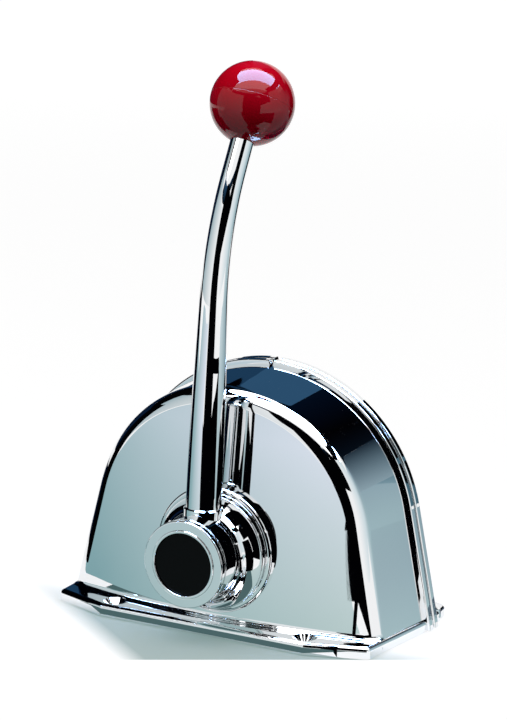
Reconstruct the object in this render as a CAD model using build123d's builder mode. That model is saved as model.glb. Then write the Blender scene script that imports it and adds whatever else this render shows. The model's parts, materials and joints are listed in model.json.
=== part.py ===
"""Boat throttle control lever: top-mount single-lever engine control.

Millimetres. +Z is up, +X is ahead, and the lever stands on the -Y side of the housing.
The origin is the centre of the four deck screws, on the deck.
"""
import os
from math import acos, atan2, cos, hypot, pi, radians, sin, tan

from build123d import *

# ---------------------------------------------------------------- driving dimensions
# Housing: a D-shaped dome in two halves that meet at the parting plane
parting_y = 20.0
wall = 3.0
dome_half_width = 97.7          # at the deck, on the parting plane
dome_height = 131.9
dome_crown_radius = 85.5

front_foot = 44.5               # from the origin to the foot of the front face
front_top = 34.1                # from the origin to the face at the height of the crown
front_crown = 408.0             # radius of the face in plan
front_draft = 4.0
front_edge_radius = 9.5

rear_foot = 42.5
rear_top = 28.6
rear_crown = 900.0
rear_draft = 10.0
rear_edge_radius = 7.0

bead_proud = 2.2
bead_width = 4.7
bead_gap = 0.8                  # from each bead to the parting plane
bead_edge_radius = 0.9
notch_width = 2.6               # sight mark over the neutral position
notch_chamfer = 1.2

# Flange
flange_thickness = 6.35
flange_mid_depth = 57.0
flange_end_depth = 45.5
flange_straight = 61.0          # half length of the straight edges
flange_ledge = 0.5              # beyond the dome, at the parting plane
flange_end_taper = 4.7          # narrower at its ends than at the parting plane
flange_corner_radius = 3.0
flange_edge_radius = 2.6
deck_screw_spacing_x = 114.3
deck_screw_spacing_y = 95.25
deck_screw_hole = 3.4
deck_screw_mouth = 6.35

# Shaft boss on the front face
shaft_height = 43.2
boss_radius = 34.2
boss_face_y = -44.5
boss_edge_radius = 1.8

# Hub
hub_front_y = -76.7
hub_radius = 23.2
hub_edge_radius = 0.8
hub_groove_from = 3.2           # behind the hub's front
hub_groove_to = 4.4
hub_groove_depth = 0.8
hub_barrel_length = 17.5
skirt_radius = 31.2
skirt_rim = 3.4
skirt_step = 0.6
hub_running_gap = 0.5
socket_boss_radius = 10.4
socket_boss_chamfer = 0.7

# Lever
lever_foot_y = -56.2
lever_foot_height = 69.5
lever_foot_radius = 9.4
lever_tip_radius = 6.2
lever_lower_lean = 2.8
lever_lower_length = 141.6
lever_upper_lean = 28.0
lever_upper_length = 73.9       # from the bend's corner to the ball's centre
lever_bend_radius = 160.0
lever_sections = 13
lever_spigot_radius = 5.0
lever_spigot_gap = 3.3          # from its end to the shaft
lever_stud_radius = 4.0
lever_stud_length = 14.0

# Knob
knob_radius = 22.2
knob_seat = 20.0                # from the ball's centre to the end of the bar
insert_radius = 7.0
insert_length = 16.0

# Push button
button_radius = 16.5
button_recess = 0.5
button_face = 2.2
button_skirt = 3.0
button_length = 6.8
button_travel = 5.0
button_edge_radius = 0.6
bezel_wall = 1.5
bezel_length = 7.0
bezel_lip = 0.5
stem_radius = 3.0
stem_overhang = 4.0             # beyond the end of the shaft
spring_wire = 0.6
button_spring_radius = 8.0
button_spring_turns = 3

# Drive shaft and its bearings
shaft_radius = 8.0
shaft_bore_radius = 3.6
shaft_seat_y = -62.0            # front end of the shaft, in the hub
shaft_end_y = 9.0
bearing_wall = 3.0
bearing_flange = 3.0            # beyond the sleeve
bearing_flange_thickness = 2.0
bearing_boss_radius = 15.5
bearing_boss_end_y = -28.0
thrust_washer_thickness = 1.0
ring_thickness = 1.2
ring_proud = 2.2
ring_groove_depth = 0.9
ring_mouth = 6.0

# Gears
gear_module = 1.5
drive_teeth = 24
driven_teeth = 32
pressure_angle = 20.0
dedendum = 1.25                 # in modules
backlash = 0.14
gear_width = 8.0
driven_gear_width = 7.0
gear_line_angle = 25.0          # of the line between the gear centres, above level
drum_radius = 12.0
drum_length = 10.5
key_width = 3.0
key_height = 3.0
driven_hub_radius = 9.0
driven_hub_length = 8.5
flank_points = 6

# Mechanism plate
plate_y = 0.0                   # front of the plate
plate_thickness = 3.0
plate_margin = 3.5              # to the inside of the housing
plate_bottom = 8.0
post_radius = 5.0
upper_post = (14.0, 106.0)
lower_post = (30.0, 14.0)

# Studs, arms and cable pivots
stud_radius = 5.0
stud_tail_radius = 4.0
arm_length = 32.0
arm_thickness = 4.0
arm_hub_radius = 13.0
arm_tip_radius = 6.5
pivot_block_radius = 5.0
pivot_block_length = 12.0
pivot_pin_radius = 3.0
cable_rod_radius = 2.4

# Cable bracket
bracket_bottom = 6.4
bracket_height = 11.0
bracket_bar = 8.0
saddle_half_width = 11.5
cable_jacket_radius = 4.8
clamp_thickness = 6.8
clamp_screw_offset = 8.2
friction_lug_half_width = 8.0

# Friction brake under the drum
shoe_half_width = 7.0
shoe_length = 8.0
shoe_height = 5.6
shoe_gap = 0.1
shoe_wrap = 4.0                 # height of its horns round the drum
friction_spring_radius = 2.4
friction_spring_turns = 3
friction_screw_radius = 3.0

# Screws
screw_radius = 2.0              # plate and clamp screws
screw_head_radius = 3.6
screw_head_height = 2.4
screw_slot = 1.0
plate_screw_grip = 9.0          # length in the post
clamp_screw_length = 15.0
shell_screw_radius = 2.4
shell_screw_head_radius = 4.4
shell_screw_head_height = 3.0
shell_screw_grip = 9.0
shell_boss_radius = 5.5
shell_boss_length = 13.0
shell_post_length = 9.0
shell_screw_points = ((81.4, 34.0), (50.2, 104.6))
set_screw_radius = 2.5
set_screw_length = 10.0
set_screw_y = -53.5
set_screw_angle = 60.0          # either side of straight down
hex_socket = 1.4

# Clearances
running = 0.05                  # shaft in bearing
fit = 0.02                      # pieces fixed together
face_gap = 0.2                  # between faces that turn past each other
screw_clearance = 0.2
knob_clearance = 0.3            # round the end of the bar

# ---------------------------------------------------------------- worked-out places
dome_centre = dome_height - dome_crown_radius
dome_reach = hypot(dome_half_width, dome_centre)
leg_lean = acos(dome_crown_radius / dome_reach) - atan2(dome_centre, dome_half_width)
front_lean = atan2(front_foot - front_top, dome_height)
rear_lean = atan2(rear_foot - rear_top, dome_height)
flange_parting_width = dome_half_width + flange_ledge
flange_end_width = flange_parting_width - flange_end_taper

shaft_centre = (0.0, shaft_height)
shaft_axis = Axis((0, 0, shaft_height), (0, 1, 0))
skirt_back_y = boss_face_y - hub_running_gap

button_front_y = hub_front_y + button_recess
button_back_y = button_front_y + button_length
well_floor_y = button_back_y + button_travel + face_gap
button_pocket_y = button_front_y + button_face
stem_end_y = shaft_end_y + stem_overhang
bezel_radius = button_radius + face_gap + bezel_wall

bearing_radius = shaft_radius + bearing_wall
bearing_flange_radius = bearing_radius + bearing_flange
washer_back_y = bearing_boss_end_y + bearing_flange_thickness
gear_front_y = washer_back_y + thrust_washer_thickness + face_gap
gear_back_y = gear_front_y + gear_width
drum_back_y = gear_back_y + drum_length
plate_back_y = plate_y + plate_thickness
ring_front_y = plate_back_y + bearing_flange_thickness + face_gap

driven_front_y = gear_front_y + (gear_width - driven_gear_width) / 2
driven_back_y = driven_front_y + driven_gear_width
driven_hub_end_y = driven_back_y + driven_hub_length
arm_back_y = driven_hub_end_y - face_gap
arm_front_y = arm_back_y - arm_thickness
gear_distance = gear_module * (drive_teeth + driven_teeth) / 2
driven_x = gear_distance * cos(radians(gear_line_angle))
driven_height = shaft_height + gear_distance * sin(radians(gear_line_angle))
pivot_x = driven_x + arm_length
pivot_block_back_y = arm_front_y - face_gap
pivot_block_front_y = pivot_block_back_y - pivot_block_length
cable_y = pivot_block_front_y + pivot_block_length / 2
stud_clip_y = driven_front_y - face_gap - ring_thickness
pivot_clip_y = arm_back_y + face_gap

bracket_front_y = plate_y - bracket_bar
bracket_top = bracket_bottom + bracket_height

lever_spigot_length = lever_foot_height - shaft_height - shaft_radius - lever_spigot_gap
lever_foot = (lever_foot_y, lever_foot_height)
lever_corner = (
    lever_foot_y + lever_lower_length * sin(radians(lever_lower_lean)),
    lever_foot_height + lever_lower_length * cos(radians(lever_lower_lean)),
)
knob_y = lever_corner[0] + lever_upper_length * sin(radians(lever_upper_lean))
knob_height = lever_corner[1] + lever_upper_length * cos(radians(lever_upper_lean))
lever_end = (
    knob_y - knob_seat * sin(radians(lever_upper_lean)),
    knob_height - knob_seat * cos(radians(lever_upper_lean)),
)
foot_plane = Plane(
    origin=(0, *lever_foot),
    z_dir=(0, sin(radians(lever_lower_lean)), cos(radians(lever_lower_lean))),
)
knob_plane = Plane(
    origin=(0, knob_y, knob_height),
    z_dir=(0, sin(radians(lever_upper_lean)), cos(radians(lever_upper_lean))),
)


# ---------------------------------------------------------------- shared shapes
def level(y):
    """The upright plane at depth y: its x is the boat's X, its y is Z, and it faces the front."""
    return Plane.XZ.offset(-y)


def front_face_y(x, z):
    """Depth of the outside of the crowned, leaning front face."""
    return -front_foot + z * tan(front_lean) + x**2 / (2 * front_crown)


def cylinder(y_from, y_to, radius, centre=shaft_centre):
    """A cylinder along Y."""
    with BuildPart() as rod:
        with BuildSketch(level(y_to)):
            with Locations(centre):
                Circle(radius)
        extrude(amount=y_to - y_from)
    return rod.part


def ring(y_from, y_to, radius, bore, centre=shaft_centre):
    """A plain ring along Y."""
    with BuildPart() as band:
        with BuildSketch(level(y_to)):
            with Locations(centre):
                Circle(radius)
                Circle(bore, mode=Mode.SUBTRACT)
        extrude(amount=y_to - y_from)
    return band.part


def retaining_ring(y_from, bore, outer, centre, mouth):
    """An open spring ring that faces along Y."""
    with BuildPart() as clip:
        with BuildSketch(level(y_from + ring_thickness)):
            with Locations(centre):
                Circle(outer)
                Circle(bore, mode=Mode.SUBTRACT)
                Rectangle(
                    mouth, outer, align=(Align.CENTER, Align.MAX), mode=Mode.SUBTRACT
                )
        extrude(amount=ring_thickness)
    return clip.part


def dome_outline(inset, bottom=0.0):
    """Outline of the dome, set in by inset: an arc with a straight leg tangent to it each side."""
    radius = dome_crown_radius - inset
    shoulder = (radius * cos(leg_lean), dome_centre + radius * sin(leg_lean))
    foot = shoulder[0] + (shoulder[1] - bottom) * tan(leg_lean)
    with BuildSketch() as outline:
        with BuildLine():
            Polyline((-shoulder[0], shoulder[1]), (-foot, bottom), (foot, bottom), shoulder)
            ThreePointArc(shoulder, (0, dome_centre + radius), (-shoulder[0], shoulder[1]))
        make_face()
    return outline.sketch


def dome(foot, lean, crown, draft_angle, edge_radius, inset):
    """Solid dome of one half, everywhere set in by inset, towards -Y from the parting plane.

    foot is the depth of the crowned, leaning face at the deck.
    """
    reach = parting_y - foot + edge_radius
    shrink = reach * tan(radians(draft_angle))
    lean_dir = (0, sin(lean), cos(lean))
    crown_axis_y = foot + crown / cos(lean)
    with BuildPart() as half:
        with BuildSketch(level(parting_y)):
            add(dome_outline(inset, -shrink - wall))
        extrude(amount=reach, taper=draft_angle)
        split(bisect_by=Plane.XY, keep=Keep.TOP)
        with BuildSketch(Plane(origin=(0, crown_axis_y, 0), z_dir=lean_dir)):
            Circle(crown - inset)
        extrude(amount=2 * dome_height, both=True, mode=Mode.INTERSECT)
        face = half.faces().filter_by(GeomType.CYLINDER).sort_by(Axis.Y)[0]
        upper_edges = face.edges().filter_by(lambda edge: edge.center().Z > wall)
        fillet(upper_edges, edge_radius - inset)
    return half.part


def front_dome(inset):
    return dome(-front_foot, front_lean, front_crown, front_draft, front_edge_radius, inset)


def rear_dome(inset):
    mirrored_foot = 2 * parting_y - rear_foot
    half = dome(mirrored_foot, rear_lean, rear_crown, rear_draft, rear_edge_radius, inset)
    return half.mirror(level(parting_y))


def bead(y_from):
    """Raised band round the dome, with its outer edges rounded and the sight notch cut."""
    notch_top = dome_height + 2 * bead_proud
    notch_reach = notch_width / 2 + notch_chamfer
    with BuildPart() as band:
        with BuildSketch(level(y_from + bead_width)):
            add(dome_outline(-bead_proud))
        extrude(amount=bead_width)
        rims = band.faces().filter_by(Axis.Y).edges()
        fillet(rims.filter_by(lambda edge: edge.center().Z > wall), bead_edge_radius)
        with BuildSketch(level(y_from + bead_width)):
            with BuildLine():
                Polyline(
                    (-notch_width / 2, dome_height),
                    (notch_width / 2, dome_height),
                    (notch_reach, dome_height + bead_proud),
                    (notch_reach, notch_top),
                    (-notch_reach, notch_top),
                    (-notch_reach, dome_height + bead_proud),
                    close=True,
                )
            make_face()
        extrude(amount=bead_width, mode=Mode.SUBTRACT)
    return band.part


def flange(keep):
    """One half of the screwed flange."""
    with BuildPart() as plate:
        with BuildSketch():
            with BuildLine():
                Polyline(
                    (flange_straight, -flange_mid_depth),
                    (flange_end_width, -flange_end_depth),
                    (flange_parting_width, parting_y),
                    (flange_end_width, flange_end_depth),
                    (flange_straight, flange_mid_depth),
                    (-flange_straight, flange_mid_depth),
                    (-flange_end_width, flange_end_depth),
                    (-flange_parting_width, parting_y),
                    (-flange_end_width, -flange_end_depth),
                    (-flange_straight, -flange_mid_depth),
                    close=True,
                )
            face = make_face()
            fillet(face.vertices(), flange_corner_radius)
        extrude(amount=flange_thickness)
        fillet(plate.faces().sort_by(Axis.Z)[-1].edges(), flange_edge_radius)
        split(bisect_by=level(parting_y), keep=keep)
    return plate.part


def deck_holes(facing):
    """Places of the countersunk holes in one half of the flange."""
    hole_y = facing * deck_screw_spacing_y / 2
    return [(side * deck_screw_spacing_x / 2, hole_y, flange_thickness) for side in (-1, 1)]


def both_sides(points):
    """Points on both sides of the middle plane."""
    return [(side * x, z) for x, z in points for side in (-1, 1)]


def slotted_screw(centre, seat_y, facing, radius, length, head_radius, head_height):
    """Cheese-head screw along Y with its head's seat at seat_y and its head towards facing."""
    tip_y = seat_y - facing * length
    top_y = seat_y + facing * head_height
    slot_y = top_y - facing * screw_slot
    with BuildPart() as screw:
        add(cylinder(min(seat_y, tip_y), max(seat_y, tip_y), radius, centre))
        add(cylinder(min(seat_y, top_y), max(seat_y, top_y), head_radius, centre))
        with BuildSketch(level(max(slot_y, top_y))):
            with Locations(centre):
                Rectangle(2 * head_radius, screw_slot)
        extrude(amount=screw_slot, mode=Mode.SUBTRACT)
    return screw.part


def gear_face(teeth, phase):
    """Involute spur gear outline with its first tooth at the angle phase."""
    pitch_radius = gear_module * teeth / 2
    base_radius = pitch_radius * cos(radians(pressure_angle))
    tip_radius = pitch_radius + gear_module
    root_radius = pitch_radius - dedendum * gear_module
    half_tooth = pi / (2 * teeth) - backlash / (2 * pitch_radius)
    pitch_involute = tan(radians(pressure_angle)) - radians(pressure_angle)

    def flank(radius):
        roll = acos(base_radius / radius)
        turn = half_tooth + pitch_involute - (tan(roll) - roll)
        return (radius * cos(turn), radius * sin(turn))

    rise = (tip_radius - base_radius) / (flank_points - 1)
    upper = [flank(base_radius + rise * step) for step in range(flank_points)]
    lower = [(x, -y) for x, y in reversed(upper)]
    inner = root_radius - gear_module / 2
    foot_turn = atan2(upper[0][1], upper[0][0])
    foot = (inner * cos(foot_turn), inner * sin(foot_turn))
    with BuildSketch() as tooth:
        with BuildLine():
            Line(foot, upper[0])
            Spline(upper)
            ThreePointArc(upper[-1], (tip_radius, 0), lower[0])
            Spline(lower)
            Polyline(lower[-1], (foot[0], -foot[1]), foot)
        make_face()
    with BuildSketch() as gear:
        Circle(root_radius)
        with PolarLocations(0, teeth, start_angle=phase):
            add(tooth.sketch)
    return gear.sketch


def driven_phase(line_angle):
    """Turn of a driven gear that puts a gap opposite a tooth of the drive gear."""
    return line_angle * (1 + drive_teeth / driven_teeth) + 180 + 180 / driven_teeth


def coil(start, direction, radius, length, turns):
    """Compression spring from start along direction."""
    rise = length - 2 * spring_wire
    foot = Vector(start) + Vector(direction) * spring_wire
    with BuildPart() as spring:
        with BuildLine() as path:
            Helix(rise / turns, rise, radius, center=foot, direction=direction)
        with BuildSketch(Plane(origin=path.line @ 0, z_dir=path.line % 0)):
            Circle(spring_wire)
        sweep(is_frenet=True)
    return spring.part


# ---------------------------------------------------------------- housing
upper_posts = both_sides([upper_post])
lower_posts = both_sides([lower_post])
shell_screw_centres = both_sides(shell_screw_points)

with BuildPart() as shaft_boss:
    add(cylinder(boss_face_y, front_face_y(0, dome_height), boss_radius))
    rim = shaft_boss.faces().filter_by(Axis.Y).sort_by(Axis.Y)[0].edges()
    fillet(rim, boss_edge_radius)

with BuildPart() as front_shell:
    add(front_dome(0))
    add(flange(Keep.TOP))
    add(bead(parting_y - bead_gap - bead_width))
    add(shaft_boss.part)
    add(front_dome(wall), mode=Mode.SUBTRACT)
    # bearing boss, and bosses for the rear half's screws
    bearing_root_y = front_face_y(0, shaft_height) + wall / 2
    add(cylinder(bearing_root_y, bearing_boss_end_y, bearing_boss_radius))
    for centre in shell_screw_centres:
        boss_root_y = parting_y - shell_boss_length
        add(cylinder(boss_root_y, parting_y, shell_boss_radius, centre))
    # bores and tapped holes
    add(cylinder(boss_face_y, bearing_boss_end_y, bearing_radius + fit), mode=Mode.SUBTRACT)
    for centre in shell_screw_centres:
        tapped_y = parting_y - shell_screw_grip
        tapped = cylinder(tapped_y, parting_y, shell_screw_radius + fit, centre)
        add(tapped, mode=Mode.SUBTRACT)
    with Locations(*deck_holes(-1)):
        CounterSinkHole(radius=deck_screw_hole, counter_sink_radius=deck_screw_mouth)
front_shell.part.label = "front_shell"

with BuildPart() as plate_posts:
    for centre in upper_posts:
        add(cylinder(-front_foot, plate_y, post_radius, centre))
    for centre in lower_posts:
        add(cylinder(-front_foot, bracket_front_y, post_radius, centre))
    add(front_dome(wall + fit), mode=Mode.INTERSECT)
    for centre in upper_posts:
        tapped = cylinder(plate_y - plate_screw_grip, plate_y, screw_radius + fit, centre)
        add(tapped, mode=Mode.SUBTRACT)
    for centre in lower_posts:
        tapped_y = bracket_front_y - plate_screw_grip
        tapped = cylinder(tapped_y, bracket_front_y, screw_radius + fit, centre)
        add(tapped, mode=Mode.SUBTRACT)
plate_posts.part.label = "plate_posts"

with BuildPart() as rear_shell:
    add(rear_dome(0))
    add(flange(Keep.BOTTOM))
    add(bead(parting_y + bead_gap))
    add(rear_dome(wall), mode=Mode.SUBTRACT)
    post_end_y = parting_y + shell_post_length
    for centre in shell_screw_centres:
        add(cylinder(parting_y, post_end_y, shell_boss_radius, centre))
        clearance_hole = cylinder(
            parting_y, post_end_y, shell_screw_radius + screw_clearance, centre
        )
        add(clearance_hole, mode=Mode.SUBTRACT)
        head_y = post_end_y - shell_screw_head_height - screw_clearance
        head_pocket = cylinder(
            head_y, flange_mid_depth, shell_screw_head_radius + screw_clearance, centre
        )
        add(head_pocket, mode=Mode.SUBTRACT)
    with Locations(*deck_holes(1)):
        CounterSinkHole(radius=deck_screw_hole, counter_sink_radius=deck_screw_mouth)
rear_shell.part.label = "rear_shell"

with BuildPart() as shell_screws:
    seat_y = parting_y + shell_post_length - shell_screw_head_height - screw_clearance
    reach = seat_y - parting_y + shell_screw_grip - screw_clearance
    for centre in shell_screw_centres:
        add(
            slotted_screw(
                centre, seat_y, 1, shell_screw_radius, reach,
                shell_screw_head_radius, shell_screw_head_height,
            )
        )
shell_screws.part.label = "shell_screws"

# ---------------------------------------------------------------- hub and lever
hub_plane = Plane(origin=(0, 0, shaft_height), x_dir=(0, 1, 0), z_dir=(1, 0, 0))
barrel_end_y = hub_front_y + hub_barrel_length
groove_y = (hub_front_y + hub_groove_from, hub_front_y + hub_groove_to)
groove_floor = hub_radius - hub_groove_depth
flare_end = (skirt_back_y - skirt_rim, skirt_radius - skirt_step)
set_screw_turns = (-90 - set_screw_angle / 2, -90 + set_screw_angle / 2)


def set_screw_plane(turn):
    """Plane across a hub set screw at the hub's axis, facing outwards at the angle turn."""
    outwards = (cos(radians(turn)), 0, sin(radians(turn)))
    return Plane(origin=(0, set_screw_y, shaft_height), z_dir=outwards)


with BuildPart() as socket_boss:
    with BuildSketch(foot_plane.offset(-lever_spigot_length)):
        Circle(socket_boss_radius)
    extrude(amount=lever_spigot_length)
    top_edge = socket_boss.edges().filter_by(GeomType.CIRCLE).sort_by(Axis.Z)[-1]
    chamfer(top_edge, socket_boss_chamfer)

with BuildPart() as hub:
    with BuildSketch(hub_plane):
        with BuildLine():
            Polyline(
                flare_end,
                (flare_end[0], skirt_radius),
                (skirt_back_y, skirt_radius),
                (skirt_back_y, 0),
                (hub_front_y, 0),
                (hub_front_y, hub_radius - hub_edge_radius),
            )
            RadiusArc(
                (hub_front_y, hub_radius - hub_edge_radius),
                (hub_front_y + hub_edge_radius, hub_radius),
                hub_edge_radius,
            )
            Polyline(
                (hub_front_y + hub_edge_radius, hub_radius),
                (groove_y[0], hub_radius),
                (groove_y[0], groove_floor),
                (groove_y[1], groove_floor),
                (groove_y[1], hub_radius),
                (barrel_end_y, hub_radius),
            )
            TangentArc((barrel_end_y, hub_radius), flare_end, tangent=(1, 0))
        make_face()
    revolve(axis=shaft_axis)
    add(socket_boss.part)
    # room for the foot of the bar in the skirt, and its threaded socket
    with BuildSketch(foot_plane):
        Circle(lever_foot_radius + face_gap)
    extrude(amount=skirt_radius, mode=Mode.SUBTRACT)
    with BuildSketch(foot_plane.offset(-lever_spigot_length - face_gap)):
        Circle(lever_spigot_radius + fit)
    extrude(amount=lever_spigot_length + face_gap, mode=Mode.SUBTRACT)
    # well for the button, shaft seat and stem hole
    well = cylinder(hub_front_y, well_floor_y, bezel_radius + fit)
    add(well, mode=Mode.SUBTRACT)
    add(cylinder(well_floor_y, shaft_seat_y, stem_radius + face_gap), mode=Mode.SUBTRACT)
    add(cylinder(shaft_seat_y, skirt_back_y, shaft_radius + fit), mode=Mode.SUBTRACT)
    for turn in set_screw_turns:
        with BuildSketch(set_screw_plane(turn)):
            Circle(set_screw_radius + fit)
        extrude(amount=skirt_radius, mode=Mode.SUBTRACT)
hub.part.label = "hub"

with BuildPart() as hub_set_screws:
    for turn in set_screw_turns:
        seat = set_screw_plane(turn).offset(shaft_radius + fit)
        with BuildSketch(seat):
            Circle(set_screw_radius)
        extrude(amount=set_screw_length)
        with BuildSketch(seat.offset(set_screw_length)):
            RegularPolygon(hex_socket, 6)
        extrude(amount=-2 * hex_socket, mode=Mode.SUBTRACT)
hub_set_screws.part.label = "hub_set_screws"

with BuildPart() as lever:
    with BuildLine(Plane.YZ) as bar_line:
        FilletPolyline(lever_foot, lever_corner, lever_end, radius=lever_bend_radius)
    for station in range(lever_sections):
        share = station / (lever_sections - 1)
        taper = (1 + cos(pi * share)) / 2
        bar_radius = lever_tip_radius + (lever_foot_radius - lever_tip_radius) * taper
        with BuildSketch(Plane(origin=bar_line.line @ share, z_dir=bar_line.line % share)):
            Circle(bar_radius)
    loft()
    with BuildSketch(foot_plane):
        Circle(lever_spigot_radius)
    extrude(amount=-lever_spigot_length)
    with BuildSketch(knob_plane.offset(-knob_seat)):
        Circle(lever_stud_radius)
    extrude(amount=lever_stud_length)
lever.part.label = "lever"

insert_seat = knob_plane.offset(-knob_seat + face_gap)
with BuildPart() as knob:
    with Locations(knob_plane):
        Sphere(knob_radius)
    with BuildSketch(knob_plane.offset(-knob_radius)):
        Circle(lever_tip_radius + knob_clearance)
    extrude(amount=knob_radius - knob_seat + face_gap, mode=Mode.SUBTRACT)
    with BuildSketch(insert_seat):
        Circle(insert_radius + fit)
    extrude(amount=insert_length + fit, mode=Mode.SUBTRACT)
knob.part.label = "knob"

with BuildPart() as knob_insert:
    with BuildSketch(insert_seat):
        Circle(insert_radius)
        Circle(lever_stud_radius + fit, mode=Mode.SUBTRACT)
    extrude(amount=insert_length)
knob_insert.part.label = "knob_insert"

# ---------------------------------------------------------------- push button
with BuildPart() as button_bezel:
    add(
        ring(hub_front_y - bezel_lip, hub_front_y + bezel_length, bezel_radius,
             button_radius + face_gap)
    )
    lip_edges = button_bezel.faces().filter_by(Axis.Y).sort_by(Axis.Y)[0].edges()
    fillet(lip_edges, bezel_lip)
button_bezel.part.label = "button_bezel"

with BuildPart() as hub_button:
    add(cylinder(button_front_y, button_back_y, button_radius))
    fillet(hub_button.faces().filter_by(Axis.Y).sort_by(Axis.Y)[0].edges(), button_edge_radius)
    pocket_radius = button_radius - button_skirt
    add(cylinder(button_pocket_y, button_back_y, pocket_radius), mode=Mode.SUBTRACT)
    add(cylinder(button_pocket_y, stem_end_y, stem_radius))
    clip_groove = ring(
        shaft_end_y + face_gap, shaft_end_y + face_gap + ring_thickness,
        2 * stem_radius, stem_radius - ring_groove_depth + fit,
    )
    add(clip_groove, mode=Mode.SUBTRACT)
hub_button.part.label = "hub_button"

with BuildPart() as button_spring:
    add(
        coil((0, button_pocket_y, shaft_height), (0, 1, 0), button_spring_radius,
             well_floor_y - button_pocket_y, button_spring_turns)
    )
button_spring.part.label = "button_spring"

with BuildPart() as button_clip:
    clip_bore = stem_radius - ring_groove_depth + 2 * fit
    add(
        retaining_ring(shaft_end_y + face_gap, clip_bore, stem_radius + ring_proud,
                       shaft_centre, stem_radius)
    )
button_clip.part.label = "button_clip"

# ---------------------------------------------------------------- shaft and bearings
with BuildPart() as drive_shaft:
    add(ring(shaft_seat_y, shaft_end_y, shaft_radius, shaft_bore_radius))
    ring_groove = ring(
        ring_front_y - fit, ring_front_y + ring_thickness + fit,
        2 * shaft_radius, shaft_radius - ring_groove_depth,
    )
    add(ring_groove, mode=Mode.SUBTRACT)
    with BuildSketch(level(gear_back_y)):
        with Locations((0, shaft_height + shaft_radius)):
            Rectangle(key_width + 2 * fit, key_height + fit)
    extrude(amount=gear_width, mode=Mode.SUBTRACT)
drive_shaft.part.label = "drive_shaft"

with BuildPart() as front_bearing:
    sleeve_front_y = boss_face_y + face_gap
    add(ring(sleeve_front_y, bearing_boss_end_y, bearing_radius, shaft_radius + running))
    add(
        ring(bearing_boss_end_y, washer_back_y, bearing_flange_radius, shaft_radius + running)
    )
front_bearing.part.label = "front_bearing"

with BuildPart() as thrust_washer:
    add(
        ring(washer_back_y, washer_back_y + thrust_washer_thickness, bearing_flange_radius,
             shaft_radius + face_gap)
    )
thrust_washer.part.label = "thrust_washer"

with BuildPart() as rear_bearing:
    add(ring(plate_y, plate_back_y, bearing_radius, shaft_radius + running))
    add(
        ring(plate_back_y, plate_back_y + bearing_flange_thickness, bearing_flange_radius,
             shaft_radius + running)
    )
rear_bearing.part.label = "rear_bearing"

with BuildPart() as shaft_ring:
    add(
        retaining_ring(ring_front_y, shaft_radius - ring_groove_depth + fit,
                       shaft_radius + ring_proud, shaft_centre, ring_mouth)
    )
shaft_ring.part.label = "shaft_ring"

with BuildPart() as drive_gear:
    with BuildSketch(level(gear_back_y)):
        with Locations(shaft_centre):
            add(gear_face(drive_teeth, 0))
    extrude(amount=gear_width)
    add(cylinder(gear_back_y, drum_back_y, drum_radius))
    add(cylinder(gear_front_y, drum_back_y, shaft_radius + fit), mode=Mode.SUBTRACT)
    with BuildSketch(level(gear_back_y)):
        with Locations((0, shaft_height + shaft_radius)):
            Rectangle(key_width + 2 * fit, key_height + 2 * fit)
    extrude(amount=gear_width, mode=Mode.SUBTRACT)
drive_gear.part.label = "drive_gear"

with BuildPart() as gear_key:
    with BuildSketch(level(gear_back_y)):
        with Locations((0, shaft_height + shaft_radius)):
            Rectangle(key_width, key_height)
    extrude(amount=gear_width)
gear_key.part.label = "gear_key"

# ---------------------------------------------------------------- mechanism plate
plate_inset = (
    wall + plate_margin + (parting_y - plate_y) * tan(radians(front_draft))
)
stud_centres = [(side * driven_x, driven_height) for side in (-1, 1)]

with BuildPart() as mechanism_plate:
    with BuildSketch(level(plate_back_y)):
        add(dome_outline(plate_inset, plate_bottom))
        with Locations(shaft_centre):
            Circle(bearing_radius + fit, mode=Mode.SUBTRACT)
        with Locations(*stud_centres):
            Circle(stud_tail_radius + fit, mode=Mode.SUBTRACT)
        with Locations(*upper_posts, *lower_posts):
            Circle(screw_radius + screw_clearance, mode=Mode.SUBTRACT)
    extrude(amount=plate_thickness)
mechanism_plate.part.label = "mechanism_plate"

with BuildPart() as plate_screws:
    upper_reach = plate_thickness + plate_screw_grip - screw_clearance
    for centre in upper_posts:
        add(
            slotted_screw(centre, plate_back_y, 1, screw_radius, upper_reach,
                          screw_head_radius, screw_head_height)
        )
    for centre in lower_posts:
        add(
            slotted_screw(centre, plate_back_y, 1, screw_radius, upper_reach + bracket_bar,
                          screw_head_radius, screw_head_height)
        )
plate_screws.part.label = "plate_screws"

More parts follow.
